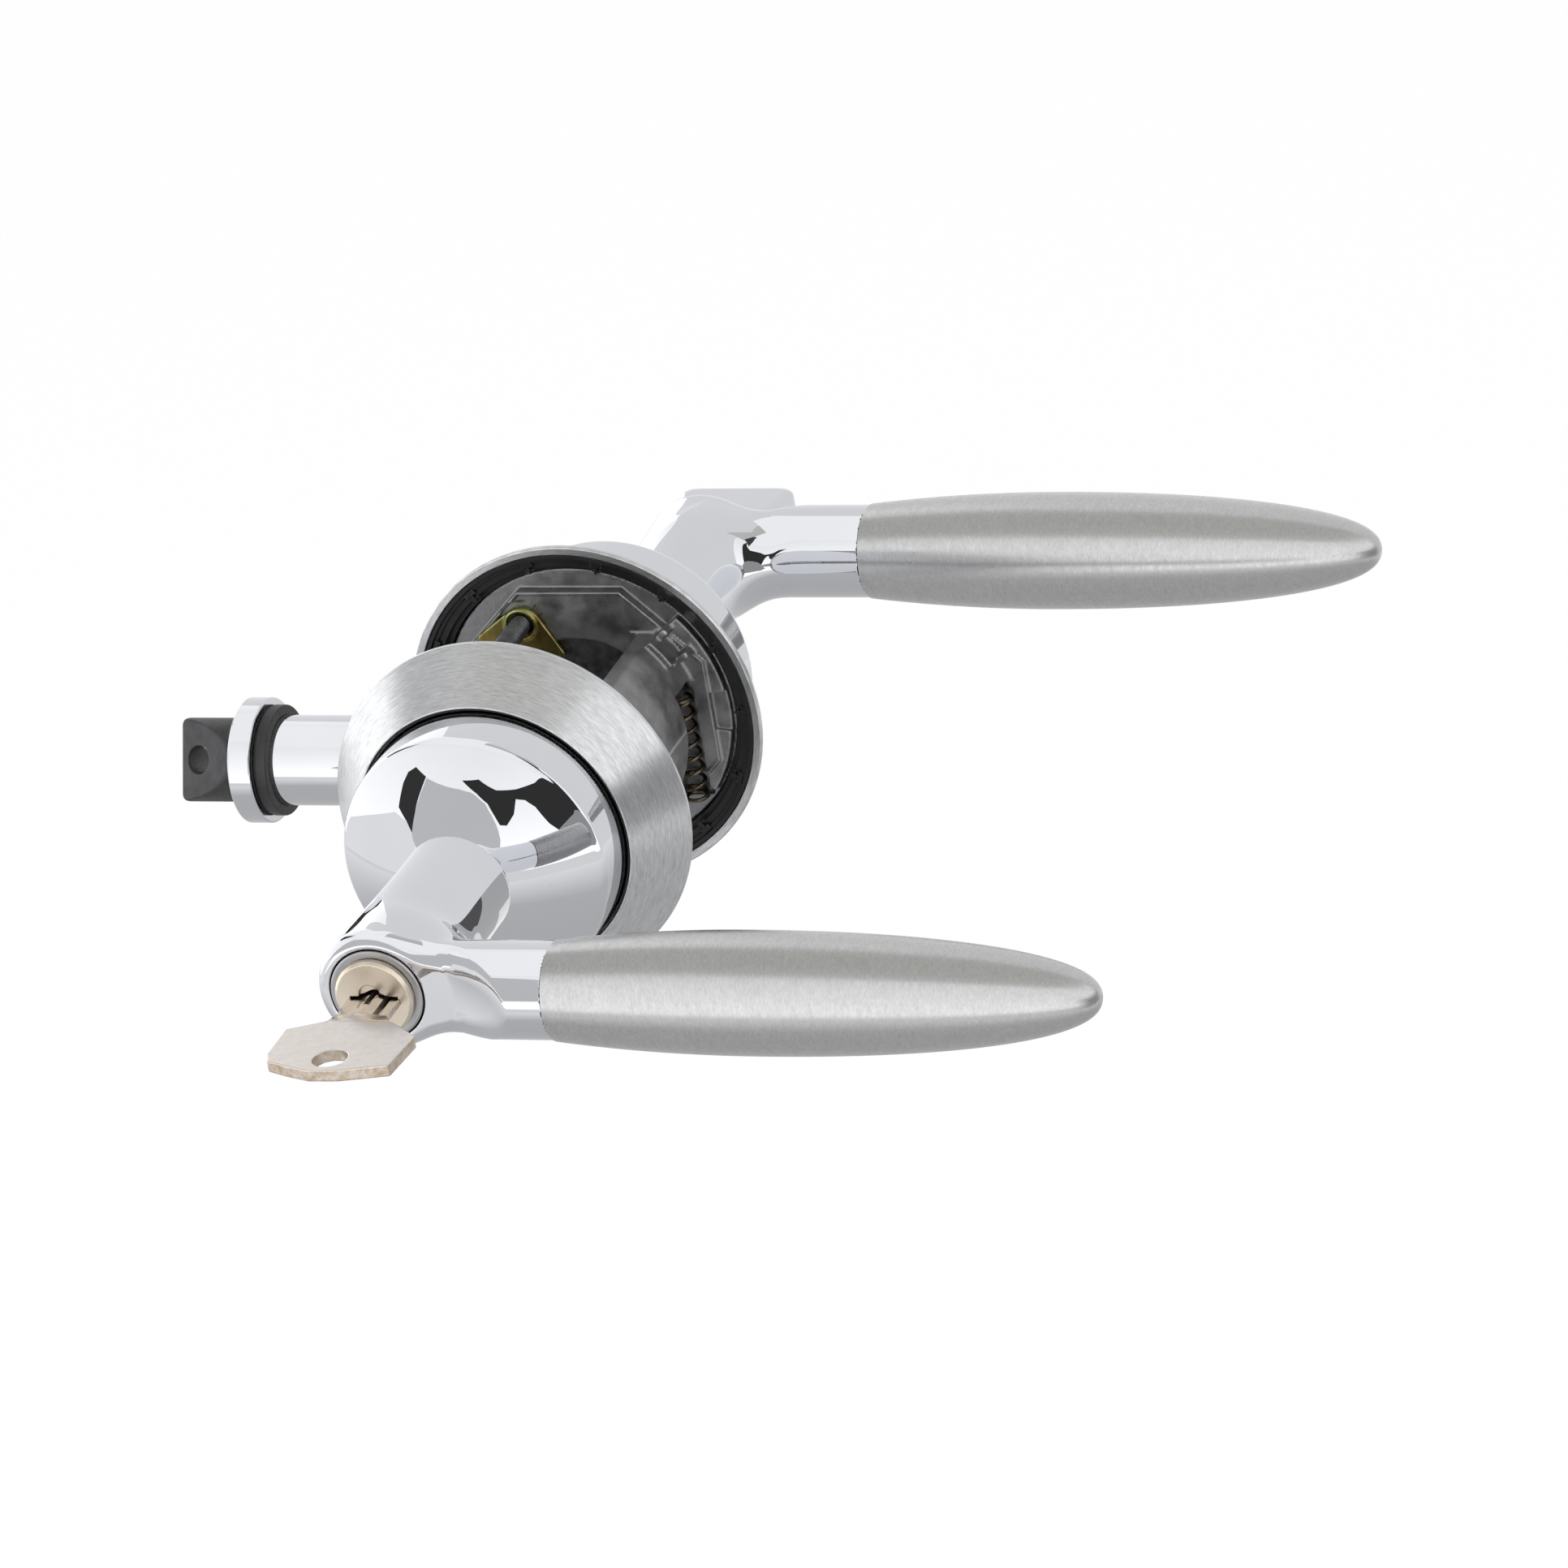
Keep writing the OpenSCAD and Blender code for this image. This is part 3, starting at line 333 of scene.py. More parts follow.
def mottled(made_of, grain, patches, dark, light, depth=0.0, edge=None, rough=None, height="Height"):
    """Two near tones in patches over a finish, with its skin in relief. edge is the reach and the colour of bright
    edges, partly worn metal and partly painted highlight, rough the range in which the roughness varies."""
    made, tree, shader = made_of
    skin_of = use(tree, skin, Grain=grain, Patches=patches)
    tone = mixed(tree, skin_of["Patch"], (*dark, 1), (*light, 1))
    if edge:
        tone = mixed(tree, use(tree, wear_and_highlight, Reach=edge[0])["Edge"], tone, (*edge[1:], 1))
    give(tree, shader, Base_Color=tone)
    if rough:
        give(tree, shader, Roughness=spread(tree, skin_of["Patch"], 0, 1, *rough))
    if depth:
        relief(tree, shader, skin_of[height], depth)
    return made


# The pale lines on the cast plates' convex edges are painted highlights.
zinc = mottled(finish("die_cast_zinc", (0.30, 0.31, 0.32), 1.0, 0.5), 2600.0, 230.0,
               (0.20, 0.20, 0.205), (0.34, 0.34, 0.345), 0.05, (0.545, 0.55, 0.55, 0.55), (0.38, 0.58))
plate_low, plate_high, post_low = (-28.5, -28.5, -5), (28.5, 28.5, 25.5), (-28.5, -28.5, 3.5)
inside_plate = cast("inside_plate_casting", inside_plate_body, plate_low, plate_high, 0.5, (1, 1))
fit(inside_plate, zinc, "root", "die_cast_zinc", "inside_plate")
outside_plate = cast("outside_plate_casting", outside_plate_body, post_low, plate_high, 0.5)
fit(outside_plate, zinc, "root", "die_cast_zinc", "outside_plate")

# ---------------------------------------------------------------- fixing screws and lug plates
# Two long machine screws run from the inside plate into the posts of the outside one, black oxide finish.
# Under each sits a three-cornered lug plate, stamped from sheet steel with a raised ring, yellow passivated.

lug_r, lug_t, lug_ring, lug_ring_r, lug_hole = 3.7, 1.0, 2.75, 0.42, 1.98
shank_r, screw_pitch, screw_end, screw_head = 1.92, 0.8, -17.6, 3.55


def lug(turn_to, flip):
    """The field of one lug plate; turned back, its screw is at the origin and up leads from the spindle."""
    spots = ((0, -0.4, lug_r), (-8.2, 1.1, 1.1), (2.6, -8.3, 1.1))

    def body(x, up, out):
        x, up = x * math.cos(turn_to) + up * math.sin(turn_to), up * math.cos(turn_to) - x * math.sin(turn_to)
        x, up, out = x * flip, up - screw_circle, out - plate_z
        outline = np.full(np.shape(x), -50.0)
        for angle in np.linspace(0, 2 * math.pi, 60):
            c, s = math.cos(angle), math.sin(angle)
            reach = max(cx * c + cy * s + r for cx, cy, r in spots)
            outline = np.maximum(outline, x * c + up * s - reach)
        solid = meet(outline, slab(out, -lug_t, 0), 0.35)
        q = np.hypot(x, up)
        ring = np.hypot(q - lug_ring, out + lug_t) - lug_ring_r
        return carve(join(solid, ring, 0.3), q - lug_hole, 0.1)
    return body


plating, plating_tree, plating_shader = finish("yellow_plating", (0.42, 0.33, 0.10), 1.0, 0.34)
plating_skin = use(plating_tree, skin, Grain=1800.0, Patches=420.0)
tone = mixed(plating_tree, plating_skin["Patch"], (0.20, 0.150, 0.040, 1), (0.34, 0.265, 0.080, 1))
sheen = node(plating_tree, "TexNoise", in0=node(plating_tree, "TexCoord").outputs["Object"], in2=120.0, in3=2.0)
tone = mixed(plating_tree, spread(plating_tree, sheen.outputs[0], 0.5, 0.66), tone, (0.22, 0.24, 0.09, 1))
tone = mixed(plating_tree, use(plating_tree, wear_and_highlight, Reach=0.52)["Edge"], tone, (0.86, 0.72, 0.42, 1))
give(plating_tree, plating_shader, Base_Color=tone)
relief(plating_tree, plating_shader, plating_skin["Height"], 0.012)

for index, ((cx, cy), turn_to, flip) in enumerate(zip(screw_spots, screw_angles, (1, -1))):
    low, high = (cx - 11, cy - 11, 18), (cx + 11, cy + 11, 20.6)
    piece = cast(f"lug_plate_{index}", lug(turn_to - math.pi / 2, flip), low, high, 0.28, (1, 1))
    fit(piece, plating, "root", "yellow_plating", "lug_plates")


def grid_faces(rows, around, ring=False):
    """Faces of a tube-like grid: rows of so many points around. ring joins its last row to the first."""
    row, col = np.meshgrid(np.arange(rows if ring else rows - 1), np.arange(around), indexing="ij")
    after, beside = (row + 1) % rows * around, (col + 1) % around
    row = row * around
    return np.stack([row + col, row + beside, after + beside, after + col], -1).reshape(-1, 4)


def cap_ends(obj, around):
    """Closes both ends of a tube-like grid."""
    work = bmesh.new()
    work.from_mesh(obj.data)
    open_edges = [e for e in work.edges if e.is_boundary]
    first = [e for e in open_edges if all(v.index < around for v in e.verts)]
    last = [e for e in open_edges if e not in first]
    for ends in (first, last):
        bmesh.ops.contextual_create(work, geom=ends)
    bmesh.ops.recalc_face_normals(work, faces=work.faces)
    work.to_mesh(obj.data)
    work.free()
    return obj


def screw_grid(name, thread_r, pitch_mm, z0, z1, head_r, head_z, centre):
    """A slotted machine screw: a threaded shank and a rounded head, as one turned grid with a real thread."""
    around, per_pitch = 40, 8
    rows = int((z1 - z0) / pitch_mm * per_pitch) + 1
    theta = np.arange(around) * 2 * math.pi / around
    t, z = np.meshgrid(theta, np.linspace(z0, z1, rows))
    phase = (z / pitch_mm - t / (2 * math.pi)) % 1
    r = thread_r - 0.34 * np.abs(2 * phase - 1) * np.clip((z - z0) / 0.8, 0, 1)
    r[0] -= 0.4
    head = np.array([(thread_r, z1), (head_r - 0.3, z1 + 0.01), (head_r, z1 + 0.3), (head_r, head_z - 0.9),
                     (head_r - 0.5, head_z - 0.25), (head_r - 1.4, head_z)])
    r, z = (np.vstack([body, np.repeat(head[:, i:i + 1], around, 1)]) for i, body in enumerate((r, z)))
    verts = np.stack([r * np.cos(theta) + centre[0], z, r * np.sin(theta) + centre[1]], axis=-1).reshape(-1, 3)
    return cap_ends(mesh_object(name, verts, grid_faces(len(r), around)), around)


oxide = mottled(finish("dark_steel", (0.09, 0.09, 0.095), 1.0, 0.42), 1500.0, 500.0,
                (0.07, 0.07, 0.075), (0.15, 0.15, 0.155), 0.01, (0.55, 0.40, 0.40, 0.41))

for index, spot in enumerate(screw_spots):
    piece = screw_grid(f"fixing_screw_{index}", shank_r, screw_pitch, screw_end, plate_top, screw_head,
                       plate_top + 2.55, spot)
    fit(piece, oxide, "root", "dark_steel", "fixing_screws")

# ---------------------------------------------------------------- drivers, spindle, cam and return springs
# The turned steel drivers, their retaining rings, the square spindle and the latch cam are the solids as
# made: drivers and cam dark sintered, rings black oxide, spindle bright steel. A wound spring of oiled wire
# lies behind each driver's nose.

steel = mottled(finish("bright_steel", (0.42, 0.42, 0.43), 1.0, 0.34), 1400.0, 300.0,
                (0.34, 0.34, 0.35), (0.52, 0.52, 0.53), 0.008)
sinter = mottled(finish("dark_sinter", (0.14, 0.14, 0.15), 1.0, 0.45), 1500.0, 500.0,
                 (0.08, 0.08, 0.085), (0.20, 0.20, 0.21), 0.06)


def coat(made, *names):
    """Gives solids that stay as made their material."""
    for name in names:
        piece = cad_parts[name]
        piece.data.materials.clear()
        piece.data.materials.append(made)


coat(sinter, "outside_driver", "inside_driver", "latch_cam")
coat(oxide, "outside_circlip", "inside_circlip", "outside_set_screw", "inside_set_screw")
coat(steel, "spindle", "tailpiece", "outside_dome_plate", "inside_dome_plate", "outside_grip_stud", "inside_grip_stud")


def wound_wire(name, coil_r, wire_r, length, coils, place):
    """A compression spring along local Z with closed ends, as round wire."""
    around, per_coil = 10, 36
    steps = int(coils * per_coil)
    share = np.linspace(0, 1, steps + 1)
    angle = share * coils * 2 * math.pi
    closed = 0.9 / coils
    ramp = np.clip((share - closed) / (1 - 2 * closed), 0, 1)
    rise = wire_r + ramp * (length - 2 * wire_r)
    centre = np.stack([coil_r * np.cos(angle), coil_r * np.sin(angle), rise], 1)
    out = np.stack([np.cos(angle), np.sin(angle), 0 * angle], 1)
    turn_at = np.arange(around) * 2 * math.pi / around
    ring = out[:, None] * np.cos(turn_at)[None, :, None] + np.array([0, 0, 1.0]) * np.sin(turn_at)[None, :, None]
    verts = (centre[:, None] + ring * wire_r).reshape(-1, 3)
    obj = cap_ends(mesh_object(name, verts, grid_faces(steps + 1, around)), around)
    obj.data.transform(place)
    obj.data.update()
    return obj


bronze = mottled(finish("bronzed_spring", (0.20, 0.16, 0.11), 1.0, 0.3), 1200.0, 700.0,
                 (0.05, 0.042, 0.034), (0.17, 0.14, 0.10))
spring_x, spring_y, spring_low, spring_len, spring_coils = 17.9, 20.125, -17.35, 20.22, 9
return_coil_r, return_wire_r = 1.92, 0.38
sides = ((-1, "outside"), (1, "inside"))
for side, word in sides:
    place = Matrix.Translation((spring_x * mm, side * spring_y * mm, spring_low * mm))
    piece = wound_wire(f"{word}_return_wire", return_coil_r, return_wire_r, spring_len, spring_coils, place)
    fit(piece, bronze, "root", "bronzed_spring", f"{word}_return_spring")
    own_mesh(piece)

# ---------------------------------------------------------------- roses, carrier rings and bush rings
# Each rose is a spun cone of steel sheet with a straight rim, brushed round and round. A stepped ring of
# black nylon with T-shaped clips holds it to the plate, and a thin black ring lines its opening.

rose_r, rose_top, rose_lip, rose_bore, rose_in = 33.0, 29.725, 25.5, 25.2, 31.5
bore_z = door_face + 1 + (rose_in - rose_bore) / 0.742574


def rounded(outline, corner, loop):
    """Rounds the corners of an outline of (radius, height, own rounding) and adds the outward normals."""
    p = np.array([q[:2] for q in outline], float)
    after = np.roll(p, -1, axis=0)
    way = 1 if np.sum(p[:, 0] * after[:, 1] - after[:, 0] * p[:, 1]) > 0 else -1
    points, normals = [], []
    for i, q in enumerate(outline):
        a, b = p[i] - p[i - 1], p[(i + 1) % len(p)] - p[i]
        if not loop and i in (0, len(p) - 1):
            a = b = b if i == 0 else a
        la, lb = np.hypot(*a), np.hypot(*b)
        a, b = a / la, b / lb
        na, nb = way * np.array([a[1], -a[0]]), way * np.array([b[1], -b[0]])
        bend = math.atan2(a[0] * b[1] - a[1] * b[0], a @ b)
        if abs(bend) < 0.25:
            points.append(p[i])
            normals.append((na + nb) / np.hypot(*(na + nb)))
            continue
        wish = q[2] if len(q) > 2 else corner
        reach = min(wish * math.tan(abs(bend) / 2), 0.45 * la, 0.45 * lb)
        r = reach / math.tan(abs(bend) / 2)
        start = p[i] - a * reach
        centre = start + np.array([-a[1], a[0]]) * (r if bend > 0 else -r)
        steps = max(2, math.ceil(abs(bend) / 0.3))
        for k in range(steps + 1):
            c, s = math.cos(bend * k / steps), math.sin(bend * k / steps)
            spin = np.array([[c, -s], [s, c]])
            points.append(centre + spin @ (start - centre))
            normals.append(spin @ na)
    return np.array(points), np.array(normals), way


def lathe(name, outline, place, loop=True, corner=0.25, steps=160):
    """Turns an outline of (radius, height) in mm round local Z; place stands the piece in the row frame."""
    p, n, way = rounded(outline, corner, loop)
    angle = np.arange(steps) * 2 * math.pi / steps
    c, s = np.cos(angle), np.sin(angle)
    verts = np.stack([p[:, :1] * c, p[:, :1] * s, np.repeat(p[:, 1:], steps, 1)], -1).reshape(-1, 3)
    normals = np.stack([n[:, :1] * c, n[:, :1] * s, np.repeat(n[:, 1:], steps, 1)], -1).reshape(-1, 3)
    faces = grid_faces(len(p), steps, loop)
    if way < 0:
        faces = faces[:, ::-1]
    obj = mesh_object(name, verts, faces, normals)
    if not loop:
        work = bmesh.new()
        work.from_mesh(obj.data)
        bmesh.ops.remove_doubles(work, verts=work.verts, dist=1e-7)
        work.to_mesh(obj.data)
        work.free()
        obj.data.shade_smooth()
    obj.matrix_world = place
    return obj


stand = {"outside": Matrix.Rotation(math.pi / 2, 4, "X"), "inside": Matrix.Rotation(-math.pi / 2, 4, "X")}

# Fine lines left by brushing a piece that turns round its own Z axis
lines, lines_in, lines_out = group("turned_lines", {"Along": 5.0, "Across": 6000.0}, ["Fine", "Coarse", "Height"])
spot = node(lines, "SeparateXYZ", in0=node(lines, "TexCoord").outputs["Object"]).outputs
squares = [times(lines, way, way) for way in spot[:2]]
radius = math_node(lines, "MAXIMUM", math_node(lines, "SQRT", math_node(lines, "ADD", *squares)), 0.0005)
along_cone = math_node(lines, "SUBTRACT", spot[2], radius)


def line_noise(share, across):
    vector = node(lines, "CombineXYZ",
                  in0=times(lines, math_node(lines, "DIVIDE", spot[0], radius), share),
                  in1=times(lines, math_node(lines, "DIVIDE", spot[1], radius), share),
                  in2=times(lines, along_cone, across))
    return node(lines, "TexNoise", in0=vector.outputs[0], in2=1.0, in3=3.0, in4=0.6).outputs[0]


thin = line_noise(lines_in.outputs["Along"], lines_in.outputs["Across"])
broad = line_noise(times(lines, lines_in.outputs["Along"], 0.4),
                   times(lines, lines_in.outputs["Across"], 0.3))
give(lines, lines_out, Fine=spread(lines, thin, 0.3, 0.7), Coarse=spread(lines, broad, 0.3, 0.7),
     Height=math_node(lines, "ADD", thin, times(lines, broad, 0.5)))


def brushed(name, dull, light, along, across, roughness, depth):
    made, tree, shader = finish(name, light, 1.0, roughness, Anisotropic=0.75, Anisotropic_Rotation=0.25)
    line = use(tree, lines, Along=along, Across=across)
    share = mixed(tree, 0.3, line["Fine"], line["Coarse"])
    give(tree, shader, Base_Color=mixed(tree, share, (*dull, 1), (*light, 1)),
         Roughness=spread(tree, line["Coarse"], 0, 1, roughness + 0.04, roughness - 0.04))
    relief(tree, shader, line["Height"], depth)
    return made


satin_rose = brushed("brushed_rose", (0.38, 0.385, 0.395), (0.68, 0.685, 0.695), 15.0, 4400.0, 0.34, 0.003)

nylon = mottled(finish("black_plastic", (0.008, 0.008, 0.009), 0.0, 0.5, Specular_IOR_Level=0.35), 1100.0, 200.0,
                (0.004, 0.004, 0.004), (0.010, 0.010, 0.010), 0.015, (0.54, 0.04, 0.04, 0.04), (0.42, 0.56))

rose_outline = [(rose_r, door_face, 0.35), (rose_r, door_face + 1, 0.7), (rose_lip, rose_top, 0.35),
                (rose_bore, rose_top, 0.15), (rose_bore, bore_z, 0.2), (rose_in, door_face + 1, 0.4),
                (rose_in, door_face, 0.2)]
bush_outline = [(24.6, 27.35), (24.6, 29.28), (25.17, 29.28), (25.17, bore_z), (25.7, 27.4)]
step_z, ledge_z, ring_end, clip_count = plate_z, plate_z + 1.2, door_face + 4.2, 14
carrier_outline = [(31.42, door_face + 0.25), (31.42, door_face + 1.0), (29.2, ring_end), (27.55, ring_end),
                   (27.55, ledge_z, 0.15), (28.6, ledge_z, 0.1), (28.6, step_z, 0.12), (29.85, step_z, 0.1),
                   (29.85, door_face + 0.9, 0.12), (30.6, door_face + 0.9, 0.1), (30.6, door_face + 0.25, 0.12)]


def clip_body(x, up, out):
    """One T-shaped clip on the x axis: a stem on the ring's slope, its bar and its foot."""
    stem = block(x, up, out, (28.0, -0.32, door_face + 0.75), (30.3, 0.32, plate_z + 0.3), 0.15)
    bar = block(x, up, out, (29.3, -1.15, door_face + 0.7), (30.5, 1.15, door_face + 1.15), 0.15)
    foot = block(x, up, out, (28.2, -0.9, plate_z - 0.25), (28.8, 0.9, plate_z + 0.3), 0.12)
    return np.minimum(np.minimum(stem, bar), foot)


def clips(x, up, out):
    """The clips stand evenly round the step of the ring."""
    pitch = 2 * math.pi / clip_count
    angle = np.arctan2(up, x)
    angle = angle - pitch * np.round(angle / pitch)
    r = np.hypot(x, up)
    return clip_body(r * np.cos(angle), r * np.sin(angle), out)


for side, word in sides:
    piece = lathe(f"{word}_rose_cover", rose_outline, stand[word], steps=240)
    fit(piece, satin_rose, "root", "brushed_rose", f"{word}_rose")
    piece = lathe(f"{word}_bush", bush_outline, stand[word], corner=0.12, steps=200)
    fit(piece, nylon, "root", "black_plastic", f"{word}_bush_ring")
    piece = lathe(f"{word}_carrier", carrier_outline, stand[word], corner=0.2, steps=200)
    fit(piece, nylon, "root", "black_plastic", f"{word}_carrier_ring")
    piece = cast(f"{word}_carrier_clips", clips, (-31.2, -31.2, 19.0), (31.2, 31.2, 20.8), 0.22, (1, side))
    fit(piece, nylon, "root", "black_plastic", f"{word}_carrier_ring")

# ---------------------------------------------------------------- levers
# One polished die casting each: a dome that turns in the rose, a neck that widens to the cylinder's boss,
# and an arm that leaves it in a wide bend. Round the boss the arm is scooped out. Bright chrome plated.

dome_r, dome_foot, cap_z, cap_fall, cap_round = 24.4, 27.8, 49.83, 0.01696, 2.2
neck_low, neck_top, neck_r, boss_r, boss_z = 48.0, 84.0, 9.8, 11.2, 88.0
arm_z, arm_r, grip_x = 85.525, 8.5, 32.3
scoop_low, scoop_high, scoop_rise, scoop_power = 14.0, 25.6, 6.3, 1.35
lip_at, lip_is = [10, 14, 16, 20.5, 23.3, 25.5], [2.4, 3.6, 3.9, 2.6, 1.4, 0.5]
rim_bore, rim_low, boss_bore, bore_low = 8.6, 85.2, 8.42, 64
blend_least, blend_more, blend_reach = 3.0, 9.5, 12


def meet_round(a, b, r):
    """What two solids share, with a true quarter round of radius r on the new edge."""
    return np.minimum(np.maximum(a, b), -r) + np.hypot(np.maximum(a + r, 0), np.maximum(b + r, 0))


def flow(a, b, r):
    """Two solids as one, running into each other without a line where the blend begins."""
    h = np.maximum(r - np.abs(a - b), 0) / r
    return np.minimum(a, b) - h * h * h * (4 - h) * r / 16


def lever_body(x, up, out):
    """Neck, boss and arm; the neck's foot stands in the dome."""
    q = np.hypot(x, up)
    share = np.clip((out - neck_low) / (neck_top - neck_low), 0, 1.1)
    neck = q - (neck_r + (boss_r - neck_r) * share * share * (1.6 - 0.6 * share))
    neck = np.maximum(neck, 42 - out)
    arm = np.maximum(np.maximum(np.hypot(up, out - arm_z) - arm_r, 5 - x), x - grip_x)
    deep = np.clip((boss_z - out) / blend_reach, 0, 1)
    solid = flow(neck, arm, blend_least + blend_more * deep * deep * (3 - 2 * deep))
    run = np.clip((q - scoop_low) / (scoop_high - scoop_low), 0, 1.3)
    front = boss_z + scoop_rise * run ** scoop_power
    lean = scoop_power * scoop_rise / (scoop_high - scoop_low) * run ** (scoop_power - 1)
    solid = meet_round(solid, (out - front) / np.hypot(1, lean), np.interp(q, lip_at, lip_is))
    solid = carve(solid, np.maximum(q - rim_bore, rim_low - out), 0.3)
    return carve(solid, np.maximum(q - boss_bore, bore_low - out), 0.2)


chrome = mottled(finish("polished_chrome", (0.600, 0.606, 0.632), 1.0, 0.0), 220.0, 60.0,
                 (0.590, 0.596, 0.622), (0.610, 0.616, 0.642), 0.0008, height="Patch")
cap_edge = 23.57
edge_lean = math.atan(2 * cap_fall * cap_edge)
edge_z = cap_z - cap_fall * cap_edge ** 2 - cap_round * math.cos(edge_lean)
dome_outline = [(0, dome_foot), (dome_r, dome_foot, 0.3)]
dome_outline += [(dome_r - cap_round * (1 - math.cos(a)), edge_z + cap_round * math.sin(a))
                 for a in np.linspace(0, math.pi / 2 - edge_lean, 8)]
dome_outline += [(q, cap_z - cap_fall * q * q) for q in np.linspace(23.2, 0, 48)]
for side, word in sides:
    piece = lathe(f"{word}_dome", dome_outline, stand[word], loop=False, steps=240)
    fit(piece, chrome, f"{word}_lever", "polished_chrome", f"{word}_lever")
    piece = cast(f"{word}_lever_arm", lever_body, (-11.8, -11.8, 41.0), (33.0, 11.8, 95.0), 0.33, (1, side))
    fit(piece, chrome, f"{word}_lever", "polished_chrome", f"{word}_lever")

# ---------------------------------------------------------------- grips
# Turned from stainless steel bar, bored for the arm's tenon and brushed round the turning axis. The belly
# is fullest a third of the way along, and the end runs out to a rounded nose.

grip_max, belly_x, grip_tip, shoulder = 10.654, 67.82, 129.45, 8.62
root_fall, root_reach, nose_fall, nose_round = 1.964, 35.52, 2.115, 2.469
grip_low = grip_x + 0.12


def grip_radius(x):
    if x < belly_x:
        return grip_max - root_fall * ((belly_x - x) / root_reach) ** 2
    return grip_max * max(1 - ((x - belly_x) / (grip_tip - belly_x)) ** nose_fall, 0) ** (1 / nose_round)


grip_outline = [(0, grip_low), (shoulder - 0.1, grip_low, 0.3)]
grip_outline += [(grip_radius(x), x, 0.3) for x in np.linspace(grip_low, belly_x, 12)]
nose = belly_x + (grip_tip - belly_x) * np.sin(np.linspace(0, math.pi / 2, 40)[1:])
grip_outline += [(grip_radius(x), x) for x in nose]
satin_grip = brushed("brushed_grip", (0.40, 0.40, 0.405), (0.54, 0.54, 0.545), 12.0, 4000.0, 0.30, 0.0016)
for side, word in sides:
    place = Matrix.Translation((0, side * arm_z * mm, 0)) @ Matrix.Rotation(math.pi / 2, 4, "Y")
    piece = lathe(f"{word}_grip_bar", grip_outline, place, loop=False, steps=160)
    fit(piece, satin_grip, f"{word}_lever", "brushed_grip", f"{word}_grip")

# ---------------------------------------------------------------- key cylinder, key and thumb turn
# A grey zinc sleeve sits in the boss with a dark gap round it. Outside, a nickel silver plug with a bright
# bevelled rim takes a flat key; inside, a chromed paddle turns the same way. Wafers are brass.

housing_r, housing_in, housing_low, housing_end = 8.4, 6.62, 64.225, 88.2
plug_r, plug_head, plug_low, plug_z, head_low = 6.55, 7.09, 62.1, 89.825, 88.5
tail_r, clip_low, clip_high, clip_r = 3.9, 63.13, 64.13, 3.3
slot_middle, slot_half, slot_low, slot_play, slot_end = 0.2, 4.4, -1.25, 0.45, 67.0
pocket_x, pocket_up, pocket_r, pocket_deep = -0.5, 0.75, 1.95, 0.7

cylinder_grey, grey_tree, grey_shader = finish("cylinder_grey", (0.36, 0.36, 0.37), 1.0, 0.3)
grey_line = use(grey_tree, lines, Along=3.0, Across=5000.0)
tone = mixed(grey_tree, grey_line["Coarse"], (0.28, 0.28, 0.29, 1), (0.42, 0.42, 0.43, 1))
give(grey_tree, grey_shader, Base_Color=tone)
relief(grey_tree, grey_shader, grey_line["Height"], 0.003)
nickel = mottled(finish("nickel_silver", (0.60, 0.53, 0.44), 1.0, 0.16), 1500.0, 90.0,
                 (0.57, 0.50, 0.41), (0.63, 0.565, 0.475), rough=(0.24, 0.34))
brass = mottled(finish("brass", (0.62, 0.44, 0.18), 1.0, 0.3), 1500.0, 300.0, (0.50, 0.35, 0.13), (0.70, 0.52, 0.24))

sleeve_outline = [(housing_in, housing_low), (housing_in, housing_end, 0.2), (housing_r, housing_end, 0.35),
                  (housing_r, housing_low)]
for word, nodes in (("outside", "cylinder_housing"), ("inside", "turn_housing")):
    piece = lathe(f"{word}_sleeve", sleeve_outline, stand[word], corner=0.2, steps=120)
    fit(piece, cylinder_grey, f"{word}_lever", "cylinder_grey", nodes)


def ridge(x):
    """Height of the key's upper face, a low wave with its crest a little right of the middle."""
    return 0.15 + 0.95 * np.exp(-((x - 0.2) / 1.7) ** 2)


def plug_core(q, out):
    """What the plug and the thumb turn share: the barrel and its tail, on which a clip sits."""
    barrel = meet(q - plug_r, slab(out, housing_low, head_low), 0.2)
    return barrel, meet(q - tail_r, slab(out, plug_low, housing_low + 0.2), 0.3)


def plug_body(x, up, out):
    q = np.hypot(x, up)
    solid, tail = plug_core(q, out)
    head = meet(q - plug_head, slab(out, 88.3, plug_z), 0.2)
    head = np.maximum(head, (q - plug_head + (out - plug_z + 0.5)) * 0.707)
    solid = join(join(solid, head, 0.2), tail, 0.1)
    slot = np.maximum(abs(x - slot_middle) - slot_half, slab(up, slot_low, ridge(x) + slot_play))
    solid = carve(solid, np.maximum(slot, slot_end - out), 0.08)
    pocket = np.maximum(np.hypot(x - pocket_x, up - pocket_up) - pocket_r, plug_z - pocket_deep - out)
    solid = carve(solid, np.maximum(pocket, -up), 0.15)
    return carve(solid, np.maximum(slab(out, clip_low, clip_high), clip_r - q), 0.05)


barrel = cast("key_plug_turned", plug_body, (-7.6, -7.6, 61.5), (7.6, 7.6, 90.4), 0.2)
fit(barrel, nickel, "key_plug", "nickel_silver", "key_plug")
coat(oxide, "plug_clip", "turn_clip")
coat(brass, "wafers")

